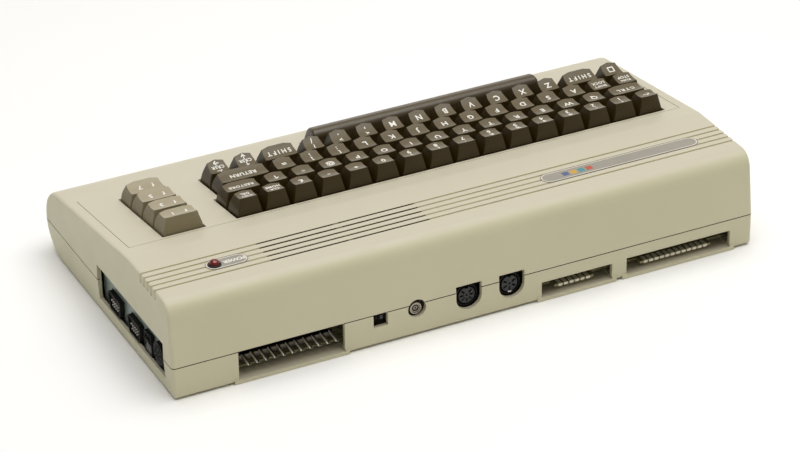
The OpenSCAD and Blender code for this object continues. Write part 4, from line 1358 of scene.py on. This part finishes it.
@dataclass
class CaseShells:
    """The two halves of the case, with a gap at the seam and soft ribs."""

    seam_z: float = 23.0
    seam_gap: float = 0.6
    seam_depth: float = 1.7
    corner_round: float = 2.0
    half_w: float = 202.0
    half_d: float = 108.0
    band: tuple[float, float] = (60.0, 87.5)
    top_z: float = 66.2
    rim_z: float = 65.9
    rib_round: float = 0.45
    groove_ys: tuple[float, ...] = (62.0, 67.7, 73.4, 79.1, 84.8)
    groove_end_z: float = 59.2
    scoop_r: float = 2.3
    scoop_out: float = 0.5
    vents: tuple[tuple[float, float], ...] = ((16.6, 68.4), (72.4, 124.2))
    vent_w: float = 1.56
    vent_z: float = 60.0

    def cut_seam(self, shell: Object) -> None:
        """Lowers the outer rim of the lower half, which leaves a thin dark gap.

        Args:
            shell: the lower half.
        """
        x, y = self.half_w + 4, self.half_d + 4
        rim = block("seam_tool", (-x, -y, self.seam_z - self.seam_gap), (x, y, self.seam_z + 1))
        x, y = self.half_w - self.seam_depth, self.half_d - self.seam_depth
        core = block("seam_core", (-x, -y, self.seam_z - 5), (x, y, self.seam_z + 5))
        bevel(core, self.corner_round, 6, lambda a, b: abs(a.z - b.z) > 1)
        carve(shell, carve(rim, core))

    def soften_ribs(self, shell: Object) -> None:
        """Rounds the rims of the grooves, scoops their ends out of the sides and opens the vent slots.

        Args:
            shell: the upper half.
        """
        front, rear = self.band
        with editing(shell, "EDGE"):
            mark_rims(shell, lambda p: front < p.y < rear and p.z > self.rim_z and abs(p.x) < self.half_w - 3)
            bpy.ops.mesh.bevel(offset=self.rib_round * MM, segments=3, clamp_overlap=False)
        for y in self.groove_ys:
            for side in (-1, 1):
                spot = (side * (self.half_w + self.scoop_out), y, self.groove_end_z + 10)
                scoop = rod("scoop", spot, self.scoop_r, 20, sides=64)
                round_edges(scoop, self.scoop_r * 0.8, 5, 60)
                carve(shell, scoop)
            low, high, top = y - self.vent_w / 2, y + self.vent_w / 2, self.top_z - self.rib_round * 0.8
            for start, end in self.vents:
                carve(shell, block("vent", (start, low, self.vent_z), (end, high, top)))

    def shade(self, shell: Object, test: Callable[[Vector], bool]) -> None:
        """Paints shade on the faces inside a narrow gap, where little light gets in.

        Args:
            shell: a painted half.
            test: takes a corner's place in millimetres, and holds for all corners of such a face.
        """
        shell.data.materials.append(VENT_SHADE.material())
        with editing(shell, "FACE"):
            mesh = bmesh.from_edit_mesh(shell.data)
            for face in mesh.faces:
                face.select_set(all(test(vert.co / MM) for vert in face.verts))
            bmesh.update_edit_mesh(shell.data)
            shell.active_material_index = 1
            bpy.ops.object.material_slot_assign()

    def in_vent(self, spot: Vector) -> bool:
        """Tells whether a place lies in a vent slot."""
        return (
            any(start - 0.1 < spot.x < end + 0.1 for start, end in self.vents)
            and any(abs(spot.y - y) < self.vent_w / 2 + 0.02 for y in self.groove_ys)
            and self.vent_z < spot.z < self.top_z - 0.1
        )

    def build(self) -> None:
        """Builds both halves and dresses the feet and screws."""
        upper = cad_copy("top_case", "top_case_shell")
        lower = cad_copy("bottom_case", "bottom_case_shell")
        self.soften_ribs(upper)
        self.cut_seam(lower)
        for shell, node in ((upper, "top_case"), (lower, "bottom_case")):
            smooth(shell, 36)
            install(shell, BODY, CASE_PLASTIC, Slot.CASE, node)
        # Painted shade in the vent slots and in the seam gap.
        self.shade(upper, self.in_vent)
        self.shade(lower, lambda p: self.seam_z - self.seam_gap - 0.05 < p.z < self.seam_z + 0.05)
        paint_nodes(rubber_feet=RUBBER, case_screws=STEEL, board_screws=STEEL, keyboard_screws=STEEL)


@dataclass
class BadgeBand:
    """The badge plate and the lamp plate in the ribbed band."""

    plate_y: float = 73.4
    plate_h: float = 11.2
    top_z: float = 66.2
    badge: tuple[float, float] = (-179.6, -67.6)
    lamp: tuple[float, float] = (135.6, 162.6)
    lamp_x: float = 157.0
    lamp_len: float = 9.0
    ring_r: float = 4.15
    ring_z: float = -3.6
    lens_r: float = 3.2
    lens_z: float = -3.2
    lens_gap: float = 0.1
    dome_z: float = 1.3
    dome_rise: float = 0.72
    margin: float = 0.3
    border: float = 0.45
    tile: float = 4.4
    tile_gap: float = 1.2
    tile_x: float = -103.6
    lift: float = 0.05
    word_size: float = 4.6
    word_x: float = -12.8
    word_lift: float = 0.03

    def bar(self, name: str, ends: tuple[float, float], inset: float, low: float, high: float) -> Object:
        """Adds a bar with half-round ends inside a plate's outline.

        Args:
            name: the bar's name.
            ends: the plate's two ends.
            inset: how far its outline is moved inwards.
            low: its lower face, from the top of the case.
            high: its upper face, from the top of the case.

        Returns:
            The bar.
        """
        half, z = self.plate_h / 2 - inset, self.top_z
        start = (ends[0] + inset, self.plate_y - half, z + low)
        bar = block(name, start, (ends[1] - inset, self.plate_y + half, z + high))
        bevel(bar, half * 0.998, 14, lambda a, b: abs(a.z - b.z) > 0.01)
        return bar

    def edge_plate(self, name: str, ends: tuple[float, float]) -> None:
        """Adds the light line round a plate.

        Args:
            name: the line's name.
            ends: the plate's two ends.
        """
        line = self.bar(name, ends, self.margin, -0.1, self.lift)
        core = self.bar("core", ends, self.margin + self.border, -1, 1)
        install(carve(line, core), BODY, INK, Slot.PLATE)

    def set_lamp(self) -> None:
        """Makes the lamp's domed lens and the ring round it."""
        spot = (self.lamp_x, self.plate_y)
        top = self.top_z
        ring = rod("power_lamp_ring", (*spot, top + self.ring_z), self.ring_r, self.lamp_len, sides=64)
        carve(ring, rod("bore", (*spot, top), self.lens_r + self.lens_gap, 30, sides=64))
        round_edges(ring, 0.3, 3)
        smooth(ring, 35)
        install(ring, BODY, BLACK_PLASTIC, Slot.BLACK, "lamp_bezel")
        lens = rod("power_lamp_lens", (*spot, top + self.lens_z), self.lens_r, self.lamp_len, sides=64)
        bpy.ops.object.select_all(action="DESELECT")
        middle, scale = Vector((*spot, top + self.dome_z)) * MM, (1, 1, self.dome_rise)
        bpy.ops.mesh.primitive_uv_sphere_add(
            segments=64, ring_count=32, radius=self.lens_r * MM, location=middle, scale=scale
        )
        carve(lens, named("dome"), way="UNION")
        smooth(lens, 40)
        install(lens, BODY, LAMP_LENS, Slot.LAMP, "power_lamp")

    def build(self) -> None:
        """Dresses the plates and lamp and adds the tiles and the word beside the lamp."""
        paint_nodes(badge_plate=PLATE, lamp_plate=PLATE, lamp_lead=LEAD)
        self.set_lamp()
        self.edge_plate("badge_line", self.badge)
        self.edge_plate("lamp_line", self.lamp)
        low, high = self.plate_y - self.tile / 2, self.plate_y + self.tile / 2
        for i, ink in enumerate(TILE_INKS):
            x = self.tile_x + i * (self.tile + self.tile_gap)
            corner = (x + self.tile, high, self.top_z + self.lift)
            tile = block(f"badge_tile_{i}", (x, low, self.top_z - 0.1), corner)
            round_edges(tile, 0.04, 2)
            install(tile, BODY, ink, Slot.PLATE)
        spot = (self.lamp_x + self.word_x, self.plate_y)
        word = engrave("lamp_word", "POWER", self.word_size, spot, 0.04, 0.86)
        install(move_to(word, shift(0, 0, self.top_z + self.word_lift)), BODY, INK, Slot.PLATE)


@dataclass
class RoundSocket:
    """A round socket: the CAD body with a slotted face in front."""

    node: str
    middle: Place
    poles: int
    spread: float
    turn: float = 0.0
    radius: float = 5.6
    face_t: float = 0.35
    slot_w: float = 1.25
    slot_from: float = 2.0
    slot_to: float = 4.9
    centre_r: float = 0.9
    key_w: float = 2.2
    key_z: float = 4.6
    face: Finish = SOCKET_FACE
    body: Finish = DEEP_BLACK
    tab_w: float = 0.0

    def build(self) -> None:
        """Makes the socket, which looks along +Y before it is turned."""
        body = cad_copy(self.node, f"{self.node}_body")
        smooth(body, 35)
        install(body, BODY, self.body, Slot.BLACK, self.node)
        face = rod(f"{self.node}_face", (0, self.face_t / 2 - 0.02, 0), self.radius, self.face_t, Axis.Y, 64)
        for i in range(self.poles):
            tool = block("pole", (-self.slot_w / 2, -2, self.slot_from), (self.slot_w / 2, 2, self.slot_to))
            angle = math.radians(180 + (i - (self.poles - 1) / 2) * self.spread)
            carve(face, move_to(tool, Matrix.Rotation(angle, 4, "Y")))
        carve(face, rod("centre", (0, 0, 0), self.centre_r, 4, Axis.Y, 24))
        carve(face, block("key", (-self.key_w / 2, -2, self.key_z), (self.key_w / 2, 2, 8)))
        round_edges(face, 0.08, 1)
        turn = Matrix.Rotation(math.radians(self.turn), 4, "Z")
        move_to(face, shift(*self.middle) @ turn)
        install(face, BODY, self.face, Slot.BLACK)
        if self.tab_w:
            x, y, z = self.middle
            half, low = self.tab_w / 2, z - self.radius
            tab = block("tab", (x - half, y - 1, low - 0.5), (x + half, y + 0.6, low + 0.4))
            round_edges(tab, 0.15, 2)
            install(gather(f"{self.node}_tab", [tab]), BODY, PIN_TIN, Slot.TIN)


@dataclass
class RearPorts:
    """What shows in the openings of the rear wall."""

    board_top: float = 7.0
    board_t: float = 1.6
    tongue_y0: float = 98.0
    tongue_y1: float = 103.4
    contact_pitch: float = 3.96
    contact_w: float = 2.8
    contact_t: float = 0.12
    tongues: tuple[tuple[str, float, int], ...] = (("cassette", -74.3, 6), ("user", -147.8, 12))
    slot_x: float = 123.1
    finger_count: int = 11
    finger_pitch: float = 5.9
    finger_side: float = -1.1
    finger_w: float = 2.4
    finger_y0: float = 93.3
    finger_len: float = 11.4
    finger_z: float = 10.9
    finger_t: float = 0.35
    finger_dip: float = 0.11
    rail: tuple[float, float] = (93.0, 93.6)
    rail_h: float = 3.6
    lip_w: float = 0.6
    lip_h: float = 1.1
    jack_x: float = 38.0
    jack_z: float = 18.6
    jack_y: float = 105.8
    jack_back: float = 98.5
    # Each ring's radius, its bore, how far it is set back and how deep it is bored.
    jack_rings: tuple[tuple[float, float, float, float], ...] = (
        (4.0, 3.2, 0.0, 1.4),
        (3.1, 2.4, 0.5, 1.4),
        (1.35, 0.75, 0.7, 2.2),
    )
    core_r: float = 2.6
    flange_r: float = 5.2
    flange_bore: float = 3.8
    flange_t: float = 0.8

    def contacts(self, name: str, middle: float, count: int) -> None:
        """Lays the contacts on both faces of a board tongue.

        Args:
            name: the port's name.
            middle: the tongue's middle in X.
            count: contacts on a face.
        """
        strips = []
        low, high = self.board_top - self.board_t, self.board_top
        half, wrap = self.contact_w / 2, self.contact_t
        for i in range(count):
            x = middle + (i - (count - 1) / 2) * self.contact_pitch
            corner = (x + half, self.tongue_y1 + 0.5, high + wrap)
            clip = block("clip", (x - half, self.tongue_y0, low - wrap), corner)
            carve(clip, block("board", (x - 5, 90, low), (x + 5, self.tongue_y1 + 0.05, high)))
            round_edges(clip, 0.05, 1)
            strips.append(clip)
        install(gather(f"{name}_contacts", strips), BODY, CONTACT, Slot.TIN)

    def fingers(self) -> None:
        """Lays the slot's spring fingers: strips with one edge turned up, painted near white as a highlight.
        """
        half = self.finger_count * self.finger_pitch / 2 + 1
        (low_y, high_y), low_z = self.rail, self.board_top
        start = (self.slot_x - half, low_y, low_z)
        strips, lips = [block("rail", start, (self.slot_x + half, high_y, low_z + self.rail_h))], []
        dip = shift(0, self.finger_y0, self.finger_z) @ Matrix.Rotation(-self.finger_dip, 4, "X")
        for i in range(self.finger_count):
            x = self.slot_x + (i - (self.finger_count - 1) / 2) * self.finger_pitch + self.finger_side
            strip = block("finger", (x - self.finger_w, 0, -self.finger_t), (x, self.finger_len, 0))
            lip = block("lip", (x - self.lip_w, 0.3, -0.05), (x, self.finger_len, self.lip_h))
            round_edges(lip, 0.15, 2)
            strips.append(move_to(strip, dip))
            lips.append(move_to(lip, dip))
        install(gather("cartridge_fingers", strips), BODY, DULL_STEEL, Slot.STEEL, "cartridge_guard")
        # The lips are painted near white, a painted highlight along the fingers' edges.
        install(gather("cartridge_finger_lips", lips), BODY, PAINTED_EDGE_HIGHLIGHT, Slot.STEEL, "cartridge_guard")

    def jack(self) -> None:
        """Makes the antenna jack: a stepped sleeve, an insulator, a sprung contact and a black flange as
        painted shade.
        """
        rings = []
        for radius, bore, end, depth in self.jack_rings:
            front = self.jack_y - end
            length = front - self.jack_back
            ring = rod("ring", (self.jack_x, front - length / 2, self.jack_z), radius, length, Axis.Y, 64)
            carve(ring, rod("bore", (self.jack_x, front, self.jack_z), bore, 2 * depth, Axis.Y, 64))
            round_edges(ring, 0.15, 2)
            rings.append(ring)
        sleeve = gather("antenna_jack_sleeve", rings)
        smooth(sleeve, 35)
        install(sleeve, BODY, DULL_STEEL, Slot.STEEL, "antenna_jack")
        x, z = self.jack_x, self.jack_z
        core = rod("core", (x, self.jack_y - self.core_r, z), self.core_r, self.core_r, Axis.Y)
        # Painted shade: the flange behind the sleeve is painted black, so the hole round the jack reads dark.
        flange = rod("flange", (x, self.jack_back + 1.4, z), self.flange_r, self.flange_t, Axis.Y, 64)
        carve(flange, rod("bore", (x, self.jack_back, z), self.flange_bore, 8, Axis.Y, 64))
        insulator = gather("antenna_jack_insulator_and_shade_flange", [core, flange])
        install(insulator, BODY, BLACK_PLASTIC, Slot.STEEL, "antenna_jack")

    def build(self) -> None:
        """Dresses the sockets and adds the contacts."""
        paint_nodes(modulator_can=TIN, channel_switch=BLACK_PLASTIC, channel_slider=ROCKER_PLASTIC)
        paint_nodes(expansion_connector=BLACK_PLASTIC)
        RoundSocket("av_socket", (2.0, 104.0, 17.4), 7, 45).build()
        RoundSocket("serial_socket", (-28.0, 104.0, 17.4), 5, 60, tab_w=2.4).build()
        for tongue in self.tongues:
            self.contacts(*tongue)
        self.fingers()
        self.jack()


@dataclass
class SidePorts:
    """What shows in the recess of the right-hand side."""

    plate_x: float = 197.25
    front_x: float = 201.5
    socket_ys: tuple[float, float] = (7.8, 40.6)
    socket_z: float = 15.7
    half_len: float = 10.75
    half_h: float = 6.2
    taper: float = 1.3
    corner: float = 3.0
    pin_floor: float = 198.9

    def outline(self, y: float, x0: float, x1: float, inset: float) -> Object:
        """Makes a D-shaped block.

        Args:
            y: its middle.
            x0: its rear end.
            x1: its front end.
            inset: how far its sides are moved inwards.

        Returns:
            The block.
        """
        half_len, half_h, z = self.half_len - inset, self.half_h - inset, self.socket_z
        form = block("front", (x0, y - half_len, z - half_h), (x1, y + half_len, z + half_h))
        for vert in form.data.vertices:
            if vert.co.z < self.socket_z * MM:
                vert.co.y += math.copysign(self.taper * MM, y * MM - vert.co.y)
        bevel(form, self.corner - inset, 6, lambda a, b: abs(a.x - b.x) > 1)
        return form

    def shape_sockets(self) -> Object:
        """Gives the control sockets their D-shaped fronts.

        Returns:
            The sockets, in one piece.
        """
        sockets = cad_copy("joystick_sockets", "joystick_socket_shells")
        room = block("room", (self.plate_x, -20, 0), (self.front_x, 60, 40))
        for y in self.socket_ys:
            carve(room, self.outline(y, self.plate_x - 1, self.front_x + 1, 0.0))
        carve(sockets, room)
        round_edges(sockets, 0.2, 2, 60)
        smooth(sockets, 35)
        return sockets

    def build(self) -> None:
        """Dresses the plate, the sockets and the switch."""
        install(self.shape_sockets(), BODY, DEEP_BLACK, Slot.BLACK, "joystick_sockets")
        carriers = [self.outline(y, self.plate_x - 4, self.pin_floor, 1.5) for y in self.socket_ys]
        install(gather("joystick_pin_blocks", carriers), BODY, DEEP_BLACK, Slot.BLACK)
        RoundSocket("power_socket", (200.3, 80.8, 19.4), 7, 45, -90, face=DEEP_BLACK, body=DEEP_BLACK).build()
        paint_nodes(
            side_port_plate=PORT_PLATE,
            joystick_pins=PIN_TIN,
            power_switch=DEEP_BLACK,
            power_rocker=ROCKER_PLASTIC,
        )


@dataclass
class Boards:
    """The circuit boards and what stands on them, inside the case."""

    def build(self) -> None:
        """Dresses the boards and their parts."""
        paint_nodes(
            main_board=BOARD,
            keyboard_board=BOARD,
            keyboard_frame=BLACK_PLASTIC,
            keyboard_cable=RIBBON,
            chips=BLACK_PLASTIC,
            capacitors=SLEEVE,
            heat_sink=HEAT_SINK,
            fuse=FUSE_GLASS,
        )


def main() -> None:
    """Builds the studio and the computer."""
    logging.basicConfig(level=logging.INFO, format="%(name)s: %(message)s")
    Studio().build()
    for assembly in (CaseShells(), Keyboard(), BadgeBand(), RearPorts(), SidePorts(), Boards()):
        assembly.build()
        log.info("%s is done", type(assembly).__name__)


if __name__ == "__main__":
    main()
